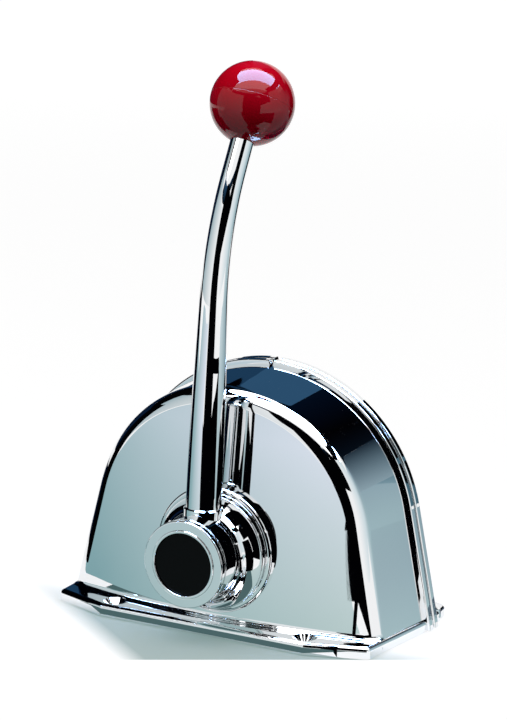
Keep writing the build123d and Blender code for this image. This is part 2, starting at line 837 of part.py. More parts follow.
# ---------------------------------------------------------------- shift and throttle drives
moving_pieces = []
for name, side in (("shift", 1), ("throttle", -1)):
    stud_centre = (side * driven_x, driven_height)
    arm_tip = (side * pivot_x, driven_height)
    line_angle = gear_line_angle if side > 0 else 180 - gear_line_angle

    with BuildPart() as stud:
        add(cylinder(stud_clip_y - ring_thickness, driven_hub_end_y, stud_radius, stud_centre))
        add(cylinder(driven_hub_end_y, plate_y, driven_hub_radius, stud_centre))
        add(cylinder(plate_y, plate_back_y, stud_tail_radius, stud_centre))
        stud_groove = ring(
            stud_clip_y, stud_clip_y + ring_thickness,
            2 * stud_radius, stud_radius - ring_groove_depth, stud_centre,
        )
        add(stud_groove, mode=Mode.SUBTRACT)
    stud.part.label = f"{name}_stud"

    with BuildPart() as driven_gear:
        with BuildSketch(level(driven_back_y)):
            with Locations(stud_centre):
                add(gear_face(driven_teeth, driven_phase(line_angle)))
        extrude(amount=driven_gear_width)
        hub_back_y = driven_hub_end_y - face_gap
        add(cylinder(driven_back_y, hub_back_y, driven_hub_radius, stud_centre))
        bore = cylinder(driven_front_y, hub_back_y, stud_radius + running, stud_centre)
        add(bore, mode=Mode.SUBTRACT)
    driven_gear.part.label = f"{name}_gear"

    with BuildPart() as arm:
        with BuildSketch(level(arm_back_y)):
            with Locations(stud_centre):
                Circle(arm_hub_radius)
            with Locations(arm_tip):
                Circle(arm_tip_radius)
            make_hull()
            with Locations(stud_centre):
                Circle(driven_hub_radius + fit, mode=Mode.SUBTRACT)
            with Locations(arm_tip):
                Circle(pivot_pin_radius + running, mode=Mode.SUBTRACT)
        extrude(amount=arm_thickness)
    arm.part.label = f"{name}_arm"

    with BuildPart() as pivot:
        add(cylinder(pivot_block_front_y, pivot_block_back_y, pivot_block_radius, arm_tip))
        pin_end_y = pivot_clip_y + 2 * ring_thickness
        add(cylinder(pivot_block_back_y, pin_end_y, pivot_pin_radius, arm_tip))
        clip_groove = ring(
            pivot_clip_y, pivot_clip_y + ring_thickness,
            2 * pivot_pin_radius, pivot_pin_radius - ring_groove_depth, arm_tip,
        )
        add(clip_groove, mode=Mode.SUBTRACT)
        with BuildSketch(Plane.XY.offset(driven_height - pivot_block_radius)):
            with Locations((arm_tip[0], cable_y)):
                Circle(cable_rod_radius)
        extrude(amount=2 * pivot_block_radius, mode=Mode.SUBTRACT)
    pivot.part.label = f"{name}_pivot"

    with BuildPart() as pivot_clip:
        add(
            retaining_ring(pivot_clip_y, pivot_pin_radius - ring_groove_depth + fit,
                           pivot_pin_radius + ring_proud, arm_tip, pivot_pin_radius)
        )
    pivot_clip.part.label = f"{name}_pivot_clip"
    moving_pieces += [stud, driven_gear, arm, pivot, pivot_clip]

with BuildPart() as stud_clips:
    for centre in stud_centres:
        add(
            retaining_ring(stud_clip_y, stud_radius - ring_groove_depth + fit,
                           stud_radius + ring_proud, centre, stud_radius)
        )
stud_clips.part.label = "stud_clips"

# ---------------------------------------------------------------- cable bracket and clamps
bracket_middle = bracket_bottom + bracket_height / 2
clamp_screw_centres = [
    (side * pivot_x + offset, bracket_middle)
    for side in (-1, 1)
    for offset in (-clamp_screw_offset, clamp_screw_offset)
]
jacket_places = [(side * pivot_x, cable_y) for side in (-1, 1)]
clamp_front_y = cable_y - face_gap - clamp_thickness
friction_axis_y = (gear_back_y + drum_back_y) / 2
lug_front_y = friction_axis_y - shoe_length / 2

with BuildPart() as cable_bracket:
    with BuildSketch(Plane.XY.offset(bracket_bottom)):
        bar_half = pivot_x + saddle_half_width
        with Locations((0, (bracket_front_y + plate_y) / 2)):
            Rectangle(2 * bar_half, bracket_bar)
        for x, y in jacket_places:
            with Locations((x, (y + plate_y) / 2)):
                Rectangle(2 * saddle_half_width, plate_y - y)
        with Locations((0, (lug_front_y + plate_y) / 2)):
            Rectangle(2 * friction_lug_half_width, plate_y - lug_front_y)
        with Locations(*jacket_places):
            Circle(cable_jacket_radius, mode=Mode.SUBTRACT)
        with Locations((0, friction_axis_y)):
            Circle(friction_screw_radius + fit, mode=Mode.SUBTRACT)
    extrude(amount=bracket_height)
    for centre in lower_posts:
        clearance_hole = cylinder(
            bracket_front_y, plate_y, screw_radius + screw_clearance, centre
        )
        add(clearance_hole, mode=Mode.SUBTRACT)
    for centre in clamp_screw_centres:
        tapped = cylinder(cable_y, plate_y, screw_radius + fit, centre)
        add(tapped, mode=Mode.SUBTRACT)
cable_bracket.part.label = "cable_bracket"

with BuildPart() as cable_clamps:
    with BuildSketch(Plane.XY.offset(bracket_bottom)):
        for x, y in jacket_places:
            with Locations((x, y - face_gap)):
                Rectangle(
                    2 * saddle_half_width, clamp_thickness, align=(Align.CENTER, Align.MAX)
                )
        with Locations(*jacket_places):
            Circle(cable_jacket_radius, mode=Mode.SUBTRACT)
    extrude(amount=bracket_height)
    for centre in clamp_screw_centres:
        clearance_hole = cylinder(
            clamp_front_y, cable_y, screw_radius + screw_clearance, centre
        )
        add(clearance_hole, mode=Mode.SUBTRACT)
cable_clamps.part.label = "cable_clamps"

with BuildPart() as clamp_screws:
    for centre in clamp_screw_centres:
        add(
            slotted_screw(centre, clamp_front_y, -1, screw_radius, clamp_screw_length,
                          screw_head_radius, screw_head_height)
        )
clamp_screws.part.label = "clamp_screws"

# ---------------------------------------------------------------- friction brake
shoe_top = shaft_height - drum_radius - shoe_gap
shoe_bottom = shoe_top - shoe_height
screw_top = bracket_top - spring_wire

with BuildPart() as friction_shoe:
    with BuildSketch(Plane.XY.offset(shoe_bottom)):
        with Locations((0, friction_axis_y)):
            Rectangle(2 * shoe_half_width, shoe_length)
    extrude(amount=shoe_height + shoe_wrap)
    drum_room = cylinder(gear_front_y, plate_y, drum_radius + shoe_gap)
    add(drum_room, mode=Mode.SUBTRACT)
friction_shoe.part.label = "friction_shoe"

with BuildPart() as friction_spring:
    add(
        coil((0, friction_axis_y, screw_top), (0, 0, 1), friction_spring_radius,
             shoe_bottom - screw_top, friction_spring_turns)
    )
friction_spring.part.label = "friction_spring"

with BuildPart() as friction_screw:
    with BuildSketch(Plane.XY.offset(bracket_bottom)):
        with Locations((0, friction_axis_y)):
            Circle(friction_screw_radius)
    extrude(amount=screw_top - bracket_bottom)
    with BuildSketch(Plane.XY.offset(bracket_bottom)):
        with Locations((0, friction_axis_y)):
            Rectangle(2 * friction_screw_radius, screw_slot)
    extrude(amount=screw_slot, mode=Mode.SUBTRACT)
friction_screw.part.label = "friction_screw"

# ---------------------------------------------------------------- export
pieces = [
    front_shell, rear_shell, shell_screws, plate_posts, hub, hub_set_screws, lever, knob, knob_insert,
    button_bezel, hub_button, button_spring, button_clip, drive_shaft, front_bearing,
    thrust_washer, rear_bearing, shaft_ring, drive_gear, gear_key, mechanism_plate,
    plate_screws, *moving_pieces, stud_clips, cable_bracket, cable_clamps, clamp_screws,
    friction_shoe, friction_spring, friction_screw,
]
os.makedirs("parts", exist_ok=True)
for piece in pieces:
    export_step(piece.part, f"parts/{piece.part.label}.step")
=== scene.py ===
# %% [markdown]
# # A boat throttle control in chrome
# The object is a single-lever engine control: a chrome housing in two halves on a screwed
# flange, a hub on a short shaft, a bent tapered lever and a red ball knob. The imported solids
# are loaded first. They are the frame: every piece below is built at the same place, in metres,
# and rides on the body that carries it.

# %% Load the frame
import json
import math

import bmesh
import bpy
import numpy as np
from mathutils import Matrix, Vector


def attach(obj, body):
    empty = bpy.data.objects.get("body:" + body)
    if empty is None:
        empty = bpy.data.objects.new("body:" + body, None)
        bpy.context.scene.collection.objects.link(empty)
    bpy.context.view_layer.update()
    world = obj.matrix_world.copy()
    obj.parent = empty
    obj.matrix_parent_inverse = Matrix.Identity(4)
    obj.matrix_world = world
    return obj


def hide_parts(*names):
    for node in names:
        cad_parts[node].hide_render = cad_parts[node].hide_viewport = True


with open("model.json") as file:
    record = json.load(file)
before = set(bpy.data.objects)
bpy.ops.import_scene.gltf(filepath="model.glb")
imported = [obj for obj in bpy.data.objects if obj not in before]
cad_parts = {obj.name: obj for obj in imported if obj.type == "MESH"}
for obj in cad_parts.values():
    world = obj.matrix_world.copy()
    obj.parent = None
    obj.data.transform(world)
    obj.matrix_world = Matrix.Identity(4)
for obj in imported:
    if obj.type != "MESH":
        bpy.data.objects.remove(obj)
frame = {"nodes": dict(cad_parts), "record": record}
nodes = frame["nodes"]
scene = bpy.context.scene
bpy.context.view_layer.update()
MM = 0.001

# %% [markdown]
# ## Camera
# The part is seen from its front right, a little above the housing, through a long lens, so its
# upright lines hardly close in. A camera could be aimed with angles or with a target. Here its
# right, up and back directions are written out instead, which also fixes its slight roll.

# %% Camera
camera_data = bpy.data.cameras.new("camera")
camera_data.sensor_fit = "VERTICAL"
camera_data.sensor_height = 36.0
camera_data.lens = 168.95
camera_data.clip_start = 0.05
camera_data.clip_end = 50.0
camera = bpy.data.objects.new("camera", camera_data)
right, up, back = (
    Vector((0.8773, 0.4792, 0.0269)).normalized(),
    Vector((-0.1327, 0.1884, 0.9731)).normalized(),
    Vector((0.4613, -0.8572, 0.2288)).normalized(),
)
view = Matrix((right, up, back)).transposed().to_4x4()
view.translation = (0.82338, -1.53592, 0.54677)
camera.matrix_world = view
scene.collection.objects.link(camera)
scene.camera = camera
print("camera at", [round(c, 4) for c in camera.location], "lens", camera_data.lens)

# %% [markdown]
# ## Writing shader maths as expressions
# A material is a graph of nodes. It could be wired by hand, one link at a time. Writing it with
# a small class keeps the recipe readable: `mask * 0.2 + 0.1` adds the Math nodes itself. Colours
# go through Mix, because a Math node turns a colour grey. Every node comes from one method,
# `add`, which sets what kind of sum or mix it is before it fills its sockets.


# %% A small language for materials
class Sock:
    """An output socket that takes part in Python expressions."""

    def __init__(self, tree, socket):
        self.tree, self.socket = tree, socket

    def math(self, operation, other):
        return self.tree.add("ShaderNodeMath", {"operation": operation}, self, other)

    def __add__(self, other):
        return self.math("ADD", other)

    def __mul__(self, other):
        return self.math("MULTIPLY", other)

    __radd__, __rmul__ = __add__, __mul__


class Recipe:
    """A material or world being written."""

    def __init__(self, owner):
        owner.use_nodes = True
        self.nodes, self.links = owner.node_tree.nodes, owner.node_tree.links
        self.nodes.clear()

    def put(self, target, value):
        if isinstance(value, Sock):
            self.links.new(value.socket, target)
        elif value is not None:
            target.default_value = value

    def add(self, kind, settings=None, *values, output=0, **named):
        """Adds a node: its settings first, then the values or links of its sockets."""
        node = self.nodes.new(kind)
        for key, value in (settings or {}).items():
            setattr(node, key, value)
        for index, value in enumerate(values):
            self.put(node.inputs[index], value)
        for key, value in named.items():
            self.put(node.inputs[key.replace("_", " ")], value)
        if isinstance(output, tuple):
            return [Sock(self, node.outputs[key]) for key in output]
        return Sock(self, node.outputs[output]) if node.outputs else None

    def mix(self, factor, first, second):
        """The first colour at factor 0, the second at 1."""
        ends = [c if isinstance(c, Sock) else (*c, 1.0) for c in (first, second)]
        unused = [None] * 5             # its sockets for numbers and vectors
        return self.add("ShaderNodeMix", {"data_type": "RGBA"}, factor, *unused, *ends, output=2)

    def place(self):
        """Where a point lies, in object coordinates."""
        return self.add("ShaderNodeTexCoord", None, output=3)

    def noise(self, scale, detail=3.0, stretch=None):
        where = self.place()
        if stretch:
            where = self.add("ShaderNodeVectorMath", {"operation": "MULTIPLY"}, where, stretch)
        return self.add("ShaderNodeTexNoise", None, Vector=where, Scale=scale, Detail=detail)

    def spread(self, value, low, high, to_low, to_high):
        """Maps low..high of a value to to_low..to_high, clamped."""
        return self.add(
            "ShaderNodeMapRange", {"clamp": True}, value, low, high, to_low, to_high
        )

    def bump(self, height, distance):
        return self.add("ShaderNodeBump", None, Strength=1.0, Distance=distance, Height=height)

    def surface(self, **named):
        """Ends the recipe with a Principled shader."""
        shader = self.add("ShaderNodeBsdfPrincipled", None, **named)
        self.add("ShaderNodeOutputMaterial", None, shader)


def new_recipe(name):
    """A new material and its recipe."""
    material = bpy.data.materials.new(name)
    return material, Recipe(material)


print("material recipes ready")

# %% [markdown]
# ## Chrome
# Bright plating is a nearly perfect mirror. A plain mirror shader would do from far off. What
# makes it read as real metal is small: a very low roughness that is not the same everywhere, a
# trace of polishing haze, and a surface that is a hair less flat than glass. The plate over a
# casting is softer than over a turned bar.


# %% Chrome
def chrome(name, colour, haze, ripple):
    """Bright plating: haze is its roughness, ripple the height of its waves in metres."""
    material, mat = new_recipe(name)
    polish = mat.noise(38.0, 4.0)
    streaks = mat.noise(900.0, 2.0, stretch=(1.0, 1.0, 0.04))
    cloud = mat.noise(9.0, 2.0)
    roughness = mat.spread(polish + streaks * 0.35, 0.35, 0.95, haze * 0.5, haze * 1.6)
    darker = tuple(c * 0.955 for c in colour)
    mat.surface(
        Base_Color=mat.mix(mat.spread(cloud, 0.3, 0.7, 0.0, 1.0), darker, colour),
        Metallic=1.0,
        Roughness=roughness,
        Normal=mat.bump(cloud, ripple),
    )
    return material


finishes = {
    name: chrome(name, *look)
    for name, look in {
        "chrome_housing": ((0.88, 0.89, 0.90), 0.018, 0.00002),
        "chrome_hub": ((0.88, 0.89, 0.90), 0.014, 0.00001),
        "chrome_lever": ((0.89, 0.90, 0.91), 0.012, 0.00001),
        "chrome_bezel": ((0.90, 0.91, 0.92), 0.03, 0.00001),
    }.items()
}
print("chromes:", len(finishes))

# %% [markdown]
# ## Turned, ground and cast metal
# The screws, shafts, gears and brackets are bare metal. Each shows the marks of its tool: fine
# lines round a turned pin, a coarser grain on a casting, spangle on zinc. One recipe makes them
# all from a noise that is stretched along the marks, and a second noise that dulls the metal
# here and there.


# %% The other metals
def machined(name, colour, rough, grain_scale, stretch=(1, 1, 1), depth=0.00002):
    """Turned, ground or cast metal: fine tool marks that run where stretch is small."""
    material, mat = new_recipe(name)
    marks = mat.noise(grain_scale, 3.0, stretch=stretch)
    tarnish = mat.noise(60.0, 4.0)
    dark = tuple(c * 0.72 for c in colour)
    mat.surface(
        Base_Color=mat.mix(mat.spread(tarnish, 0.35, 0.75, 0.0, 0.8), colour, dark),
        Metallic=1.0,
        Roughness=mat.spread(marks, 0.3, 0.7, rough * 0.75, rough * 1.3),
        Normal=mat.bump(marks, depth),
    )
    return material


for name, look in {
    "steel_screws": ((0.62, 0.63, 0.64), 0.26, 700.0),
    "shaft_steel": ((0.58, 0.59, 0.61), 0.22, 900.0, (0.1, 1, 0.1)),
    "spring_steel": ((0.50, 0.51, 0.53), 0.3, 800.0),
    "gear_steel": ((0.48, 0.48, 0.47), 0.36, 420.0, (1, 0.2, 1)),
    "plate_zinc": ((0.60, 0.61, 0.58), 0.4, 140.0),
    "brass": ((0.72, 0.53, 0.25), 0.25, 800.0, (1, 1, 0.2)),
    "bearing_bronze": ((0.60, 0.42, 0.22), 0.42, 1200.0),
    "bracket_aluminium": ((0.66, 0.67, 0.68), 0.44, 500.0, (1, 1, 1), 0.00006),
}.items():
    finishes[name] = machined(name, *look)
print("metals:", len(finishes))

# %% [markdown]
# ## Plastics
# The ball is cast and polished resin under a clear gloss: a deep colour with slow clouds in it
# and a sharp coat. One plain glossy colour would look painted, so the coat does the shining and
# the resin below it keeps its depth. The button is moulded black plastic with a finer, slightly
# satin face, and the washer and brake shoe are pale nylon.


# %% Plastics
def ball_red():
    material, mat = new_recipe("red_knob")
    cloud = mat.noise(42.0, 3.0)
    mat.surface(
        Base_Color=mat.mix(
            mat.spread(cloud, 0.35, 0.7, 0.0, 1.0), (0.50, 0.001, 0.012), (0.60, 0.002, 0.018)
        ),
        Roughness=mat.spread(mat.noise(300.0, 3.0), 0.3, 0.7, 0.10, 0.2),
        Normal=mat.bump(mat.noise(120.0, 2.0), 0.000004),
        Specular_IOR_Level=0.0,
        Coat_Weight=1.0,
        Coat_Roughness=0.02,
        Coat_IOR=1.38,
    )
    return material


def moulded(name, colour, rough, grain, shine=0.5):
    """Moulded plastic: a fine grain over a colour that is hardly uneven."""
    material, mat = new_recipe(name)
    texture = mat.noise(grain, 3.0)
    lighter = tuple(min(1.0, c * 1.25) for c in colour)
    mat.surface(
        Base_Color=mat.mix(mat.spread(mat.noise(50.0), 0.3, 0.7, 0.0, 1.0), colour, lighter),
        Roughness=mat.spread(texture, 0.3, 0.7, rough * 0.85, rough * 1.15),
        Normal=mat.bump(texture, 0.00001),
        Specular_IOR_Level=shine,
    )
    return material


finishes["red_knob"] = ball_red()
finishes["black_button"] = moulded("black_button", (0.0012, 0.0012, 0.0014), 0.36, 1500.0, 0.08)
finishes["nylon"] = moulded("nylon", (0.78, 0.75, 0.66), 0.5, 900.0)
print("all finishes:", len(finishes))

# %% [markdown]
# ## Helpers for meshes
# Castings and turned metal could be modelled by hand with modifiers. Here the curved pieces are
# built as grids of points in millimetres, from the sizes that the real pieces have. A grid gives
# even quads, which a mirror finish needs: the reflections slide smoothly over them. Each mesh is
# turned smooth, and its real edges are kept sharp by angle.

# %% A mesh from points
SHARP_FROM = 32.0                   # degrees between faces past which an edge stays sharp
SAME_POINT, NO_LENGTH = 0.000002, 0.000001      # metres


def finished(mesh, finish):
    """Smooth shading with sharp edges past an angle, and one finish."""
    mesh.shade_smooth()
    mesh.set_sharp_from_angle(angle=math.radians(SHARP_FROM))
    mesh.materials.clear()
    mesh.materials.append(finishes[finish] if isinstance(finish, str) else finish)


def piece_from(name, points, faces, finish="chrome_housing"):
    """Makes a closed mesh from points in millimetres, with its faces turned outwards."""
    mesh = bpy.data.meshes.new(name)
    mesh.from_pydata([Vector(p) * MM for p in points], [], faces)
    bm = bmesh.new()
    bm.from_mesh(mesh)
    bmesh.ops.remove_doubles(bm, verts=bm.verts, dist=SAME_POINT)
    bmesh.ops.dissolve_degenerate(bm, edges=bm.edges, dist=NO_LENGTH)
    bmesh.ops.recalc_face_normals(bm, faces=bm.faces)
    bm.to_mesh(mesh)
    bm.free()
    finished(mesh, finish)
    obj = bpy.data.objects.new(name, mesh)
    scene.collection.objects.link(obj)
    return obj


def strips(first, second, closed=False):
    """Quads between two rows of point numbers."""
    count = len(first) if closed else len(first) - 1
    size = len(first)
    return [
        (first[i], first[(i + 1) % size], second[(i + 1) % size], second[i])
        for i in range(count)
    ]


def applied(obj):
    """Keeps the object's shape after its modifiers, as a plain mesh."""
    bpy.context.view_layer.update()
    shaped = bpy.data.meshes.new_from_object(
        obj.evaluated_get(bpy.context.evaluated_depsgraph_get())
    )
    obj.modifiers.clear()
    obj.data = shaped


def cut(obj, tool, operation="DIFFERENCE"):
    """Applies a Boolean with a tool mesh, which is then removed."""
    modifier = obj.modifiers.new("cut", "BOOLEAN")
    modifier.operation, modifier.object, modifier.solver = operation, tool, "EXACT"
    finish = obj.data.materials[0]
    applied(obj)
    finished(obj.data, finish)
    bpy.data.objects.remove(tool)


print("meshes and cuts ready")

# %% [markdown]
# ## Turned pieces
# The hub, the bezel, the ball, the screws and the round holes are all what a lathe or a drill
# makes: a section spun about an axis. A Screw modifier would spin one too, but only about its
# own object's axis. This function takes any place and direction, so the same few lines make a
# piece that stands on the shaft and one that leans with the lever.

# %% Turned pieces
AXIS_Z = 43.2                       # height of the shaft's axis
SHAFT_AXIS = (0.0, 0.0, AXIS_Z)
ALONG_Y = Vector((0.0, 1.0, 0.0))


def turned(name, profile, finish="chrome_housing", origin=SHAFT_AXIS, axis=ALONG_Y, turns=128):
    """Turns a closed profile of (distance along the axis, radius) points."""
    side = axis.orthogonal().normalized()
    other = axis.cross(side)
    points, faces, rings = [], [], []
    for distance, radius in profile:
        rings.append(list(range(len(points), len(points) + turns)))
        for step in range(turns):
            angle = 2 * math.pi * step / turns
            spoke = side * math.cos(angle) + other * math.sin(angle)
            points.append(Vector(origin) + axis * distance + spoke * radius)
    for index, ring in enumerate(rings):
        following = (index + 1) % len(rings)
        if profile[index][1] or profile[following][1]:
            faces += strips(ring, rings[following], closed=True)
    return piece_from(name, points, faces, finish)


def rod(origin, axis, start, end, radius, chamfer=0.0, finish="chrome_housing"):
    """A round bar along an axis, chamfered at its far end."""
    profile = [(start, 0.0), (start, radius), (end - chamfer, radius), (end, radius - chamfer)]
    if not chamfer:
        profile.pop()
    return turned("rod", profile + [(end, 0.0)], finish, origin, axis, 96)


print("shaft's axis at", AXIS_Z, "mm")

# %% [markdown]
# ## Rounded corners
# No plated edge is truly sharp, and its small round catches a line of light. A Bevel modifier
# would give all edges one width. Rounding the section first lets each corner have the radius
# that its tool left. A row just past each arc holds the flat next to it flat, or its shading
# would bulge like a cushion.

# %% Rounded corners
HOLD = 0.06                         # from a rounded corner to the row that keeps the flat flat


def rounded(points, radii, steps=6):
    """Rounds the corners of a closed 2-D profile: an arc of each radius, 0 keeps a corner."""
    result, count = [], len(points)
    for index, (corner, radius) in enumerate(zip(points, radii)):
        here = np.array(corner, float)
        before = np.array(points[index - 1], float) - here
        after = np.array(points[(index + 1) % count], float) - here
        if not radius:
            result.append(tuple(here))
            continue
        before /= np.linalg.norm(before)
        after /= np.linalg.norm(after)
        half = math.acos(np.clip(before @ after, -1, 1)) / 2
        reach = radius / math.tan(half)
        centre = here + (before + after) / np.linalg.norm(before + after) * radius / math.sin(half)
        start, end = here + before * reach - centre, here + after * reach - centre
        turn = math.pi - 2 * half
        result.append(tuple(here + before * (reach + HOLD)))
        for step in range(steps + 1):
            share = step / steps
            blend = (
                math.sin((1 - share) * turn) * start + math.sin(share * turn) * end
            ) / math.sin(turn)
            result.append(tuple(centre + blend))
        result.append(tuple(here + after * (reach + HOLD)))
    return result


print("a rounded square has", len(rounded([(0, 0), (9, 0), (9, 9), (0, 9)], [1] * 4)), "points")

# %% [markdown]
# ## The housing's shape
# Each half is a dome with a D-shaped outline: an arc with a straight leg tangent to it on each
# side. The outline shrinks a little with depth, so that the casting leaves its mould. The front
# is a slightly crowned face that leans back, and its rim is rounded. A bevel on a rough block
# would leave uneven faces that chrome shows at once. So every point is worked out: the wall and
# the face follow their rules, and a ball rolled along the rim gives the rounded edge.

# %% Sizes of the housing, in millimetres
PARTING_Y, WALL = 20.0, 3.0
HALF_WIDTH, HEIGHT, CROWN_RADIUS = 97.7, 131.9, 85.5
FOOT_Z = 0.5                        # lowest row of the dome, inside the flange
DOME_CENTRE = HEIGHT - CROWN_RADIUS
LEG = math.acos(CROWN_RADIUS / math.hypot(HALF_WIDTH, DOME_CENTRE)) - math.atan2(
    DOME_CENTRE, HALF_WIDTH
)
front = {"facing": -1, "foot": 44.5, "top": 34.1, "crown": 408.0, "draft": 4.0, "edge": 9.5}
rear = {"facing": 1, "foot": 42.5, "top": 28.6, "crown": 900.0, "draft": 10.0, "edge": 7.0}
for half in (front, rear):
    half["lean"] = math.atan2(half["foot"] - half["top"], HEIGHT)
    half["axis_y"] = half["facing"] * (half["foot"] - half["crown"] / math.cos(half["lean"]))
print("legs lean", round(math.degrees(LEG), 2), "degrees")


# %% Points on the wall and the face
def outline_point(column, inset):
    """A point of the D outline and its outward direction, both in the X-Z plane."""
    kind, value = column
    radius = CROWN_RADIUS - inset
    if kind == "arc":
        normal = (math.cos(value), math.sin(value))
        return radius * normal[0], DOME_CENTRE + radius * normal[1], normal
    shoulder_z = DOME_CENTRE + radius * math.sin(LEG)
    z = FOOT_Z + value * (shoulder_z - FOOT_Z)
    x = radius * math.cos(LEG) + (shoulder_z - z) * math.tan(LEG)
    return kind * x, z, (kind * math.cos(LEG), math.sin(LEG))


def face_y(half, x, z, inset=0.0):
    """Depth of the crowned, leaning face."""
    facing, lean = half["facing"], half["lean"]
    reach = math.sqrt((half["crown"] - inset) ** 2 - x * x)
    return half["axis_y"] + facing * (reach - z * math.sin(lean)) / math.cos(lean)


def wall_point(half, column, depth, inset):
    """A point of the drafted side wall, depth away from the parting plane, and its normal."""
    draft = math.radians(half["draft"])
    x, z, normal = outline_point(column, inset + depth * math.tan(draft))
    outwards = Vector(
        (normal[0] * math.cos(draft), half["facing"] * math.sin(draft), normal[1] * math.cos(draft))
    )
    return Vector((x, PARTING_Y + half["facing"] * depth, z)), outwards


print("the rear face stands at y", round(face_y(rear, 0.0, 0.0), 2), "at the deck")


# %% The rounded rim
def rolled_edge(half, column, inset, steps):
    """The rounded rim at one column: a ball that touches both the wall and the face."""
    radius, lean, facing = half["edge"] - inset, half["lean"], half["facing"]
    ball_inset = inset + radius / math.cos(math.radians(half["draft"]))
    depth = half["foot"] - facing * PARTING_Y - half["edge"]
    for _ in range(30):
        ball, outwards = wall_point(half, column, depth, ball_inset)
        along = (ball.y - half["axis_y"]) * math.cos(lean) + facing * ball.z * math.sin(lean)
        depth -= math.hypot(ball.x, along) - (half["crown"] - inset - radius)
    face_out = Vector(
        (ball.x, along * math.cos(lean), along * facing * math.sin(lean))
    ).normalized()
    turn = outwards.angle(face_out)
    arc = []
    for step in range(steps + 1):
        share = step / steps
        direction = (
            outwards * math.sin((1 - share) * turn) + face_out * math.sin(share * turn)
        ) / math.sin(turn)
        arc.append((ball + direction * radius, direction))
    return arc


top_of_rim = rolled_edge(front, ("arc", math.pi / 2), 0.0, 14)[-1][0]
print("the front rim meets its face at z", round(top_of_rim.z, 1))

# %% [markdown]
# ## Columns and rows
# A grid needs its lines where the shape changes. The columns run round the D: up one leg, over
# the crown and down the other leg. They are closer together at the foot, where the face flows
# into the flange, and at the sight notch that is cut across the bead in the middle of the
# crown. Even spacing would blur both.

# %% Columns round the D
NOTCH_HALF, NOTCH_TOP = 1.3, 2.5    # half widths of the sight notch, at its floor and its top
shoulder_z = DOME_CENTRE + CROWN_RADIUS * math.sin(LEG)
levels = [FOOT_Z, 3.0, 5.0] + [5.4 + 0.15 * s for s in range(14)]
levels += [7.65, 7.95, 8.2, 8.5, 8.8, 9.2, 10.0] + [12.0 + 2.3 * s for s in range(23)]
FACE_LEVEL = levels.index(8.2)
leg_columns = [(1, (z - FOOT_Z) / (shoulder_z - FOOT_Z)) for z in levels if z < shoulder_z - 1]
notch_turns = [
    math.pi / 2 - math.asin(reach / HEIGHT)
    for reach in (NOTCH_TOP + 0.3, NOTCH_TOP, NOTCH_HALF, NOTCH_HALF - 0.3)
]
arc_turns = [LEG + (math.pi / 2 - LEG) * s / 56 for s in range(56)]
arc_turns = [t for t in arc_turns if t < notch_turns[0] - 0.004] + notch_turns
right_columns = leg_columns + [("arc", t) for t in arc_turns]
left_columns = [
    ("arc", math.pi - value) if kind == "arc" else (-kind, value)
    for kind, value in reversed(right_columns)
]
columns = right_columns + [("arc", math.pi / 2)] + left_columns
print("columns:", len(columns))

# %% [markdown]
# ## The bead
# Beside the joint each half carries a raised bead, rounded along both edges, with the sight
# notch in its middle. It could be a bevelled curve, but the wall under it leans, so its section
# is laid along the same columns as the wall and its root lies inside the metal.

# %% Bead
BEAD_PROUD, BEAD_WIDTH, BEAD_GAP, BEAD_EDGE = 2.2, 4.7, 0.8, 0.9
BEAD_ROOT, NOTCH_SUNK = 0.5, 0.4    # in the wall: the root, in bead heights; the notch, in mm


def bead_share(column):
    """1 where the bead stands proud, 0 in the sight notch."""
    if column[0] != "arc":
        return 1.0
    reach = abs(HEIGHT * math.cos(column[1]))
    return min(1.0, max(0.0, (reach - NOTCH_HALF) / (NOTCH_TOP - NOTCH_HALF)))


def bead_profile():
    """(depth, height) round the bead: height 1 is its top, and its root lies in the wall."""
    near, far = BEAD_GAP, BEAD_GAP + BEAD_WIDTH
    share = BEAD_EDGE / BEAD_PROUD
    rise = [(near, -BEAD_ROOT), (near, 0.0)]
    for step in range(7):
        turn = math.pi / 2 * step / 6
        rise.append((near + BEAD_EDGE * (1 - math.cos(turn)), 1 - share * (1 - math.sin(turn))))
    rise.append((near + BEAD_EDGE + 0.1, 1.0))
    return rise + [(near + far - depth, height) for depth, height in reversed(rise)]


def bead_band(half):
    """Points and faces of the half's bead, from one foot over the crown to the other."""
    points, faces, rings = [], [], []
    slope = math.tan(math.radians(half["draft"]))
    for column in columns:
        ring, share = [], bead_share(column)
        for depth, height in bead_profile():
            lift = (BEAD_PROUD + depth * slope) * height
            if height > 0:
                lift = lift * share - NOTCH_SUNK * (1 - share)
            ring.append(len(points))
            points.append(wall_point(half, column, depth, -lift)[0])
        rings.append(ring)
    for first, second in zip(rings, rings[1:]):
        faces += strips(first, second, closed=True)
    return points, faces + [rings[0], rings[-1]]


print("points round the bead:", len(bead_profile()))

# %% [markdown]
# ## One half of the housing
# A die casting is a skin of even thickness. Solidify could thicken one skin, but the boss, the
# bearing seat and the flat joint need an inner skin of their own. So the same rules are run
# twice, the second time set in by the wall. For each column the section runs from the parting
# plane along the wall and round the rim. The face is then filled from the rim towards the shaft
# boss in the middle. At its foot the casting flows into the flange through a hollow fillet.

# %% Skins of the dome
FLANGE_TOP, COVE = 6.35, 2.6        # the flange's thickness and the fillet's radius
FACE_COLUMNS = 72                   # across the foot of the face


def cove(half, point, outwards):
    """Moves a point outwards near the flange, along the hollow fillet."""
    above = max(0.0, point.z - FLANGE_TOP)
    if above >= COVE:
        return point
    flat = Vector((outwards.x, outwards.y, 0.0)).normalized()
    share = min(1.0, max(0.0, (half["facing"] * flat.y - 0.1) / 0.5))
    share = share * share * (3 - 2 * share)
    return point + flat * (COVE - math.sqrt(COVE**2 - (COVE - above) ** 2)) * share


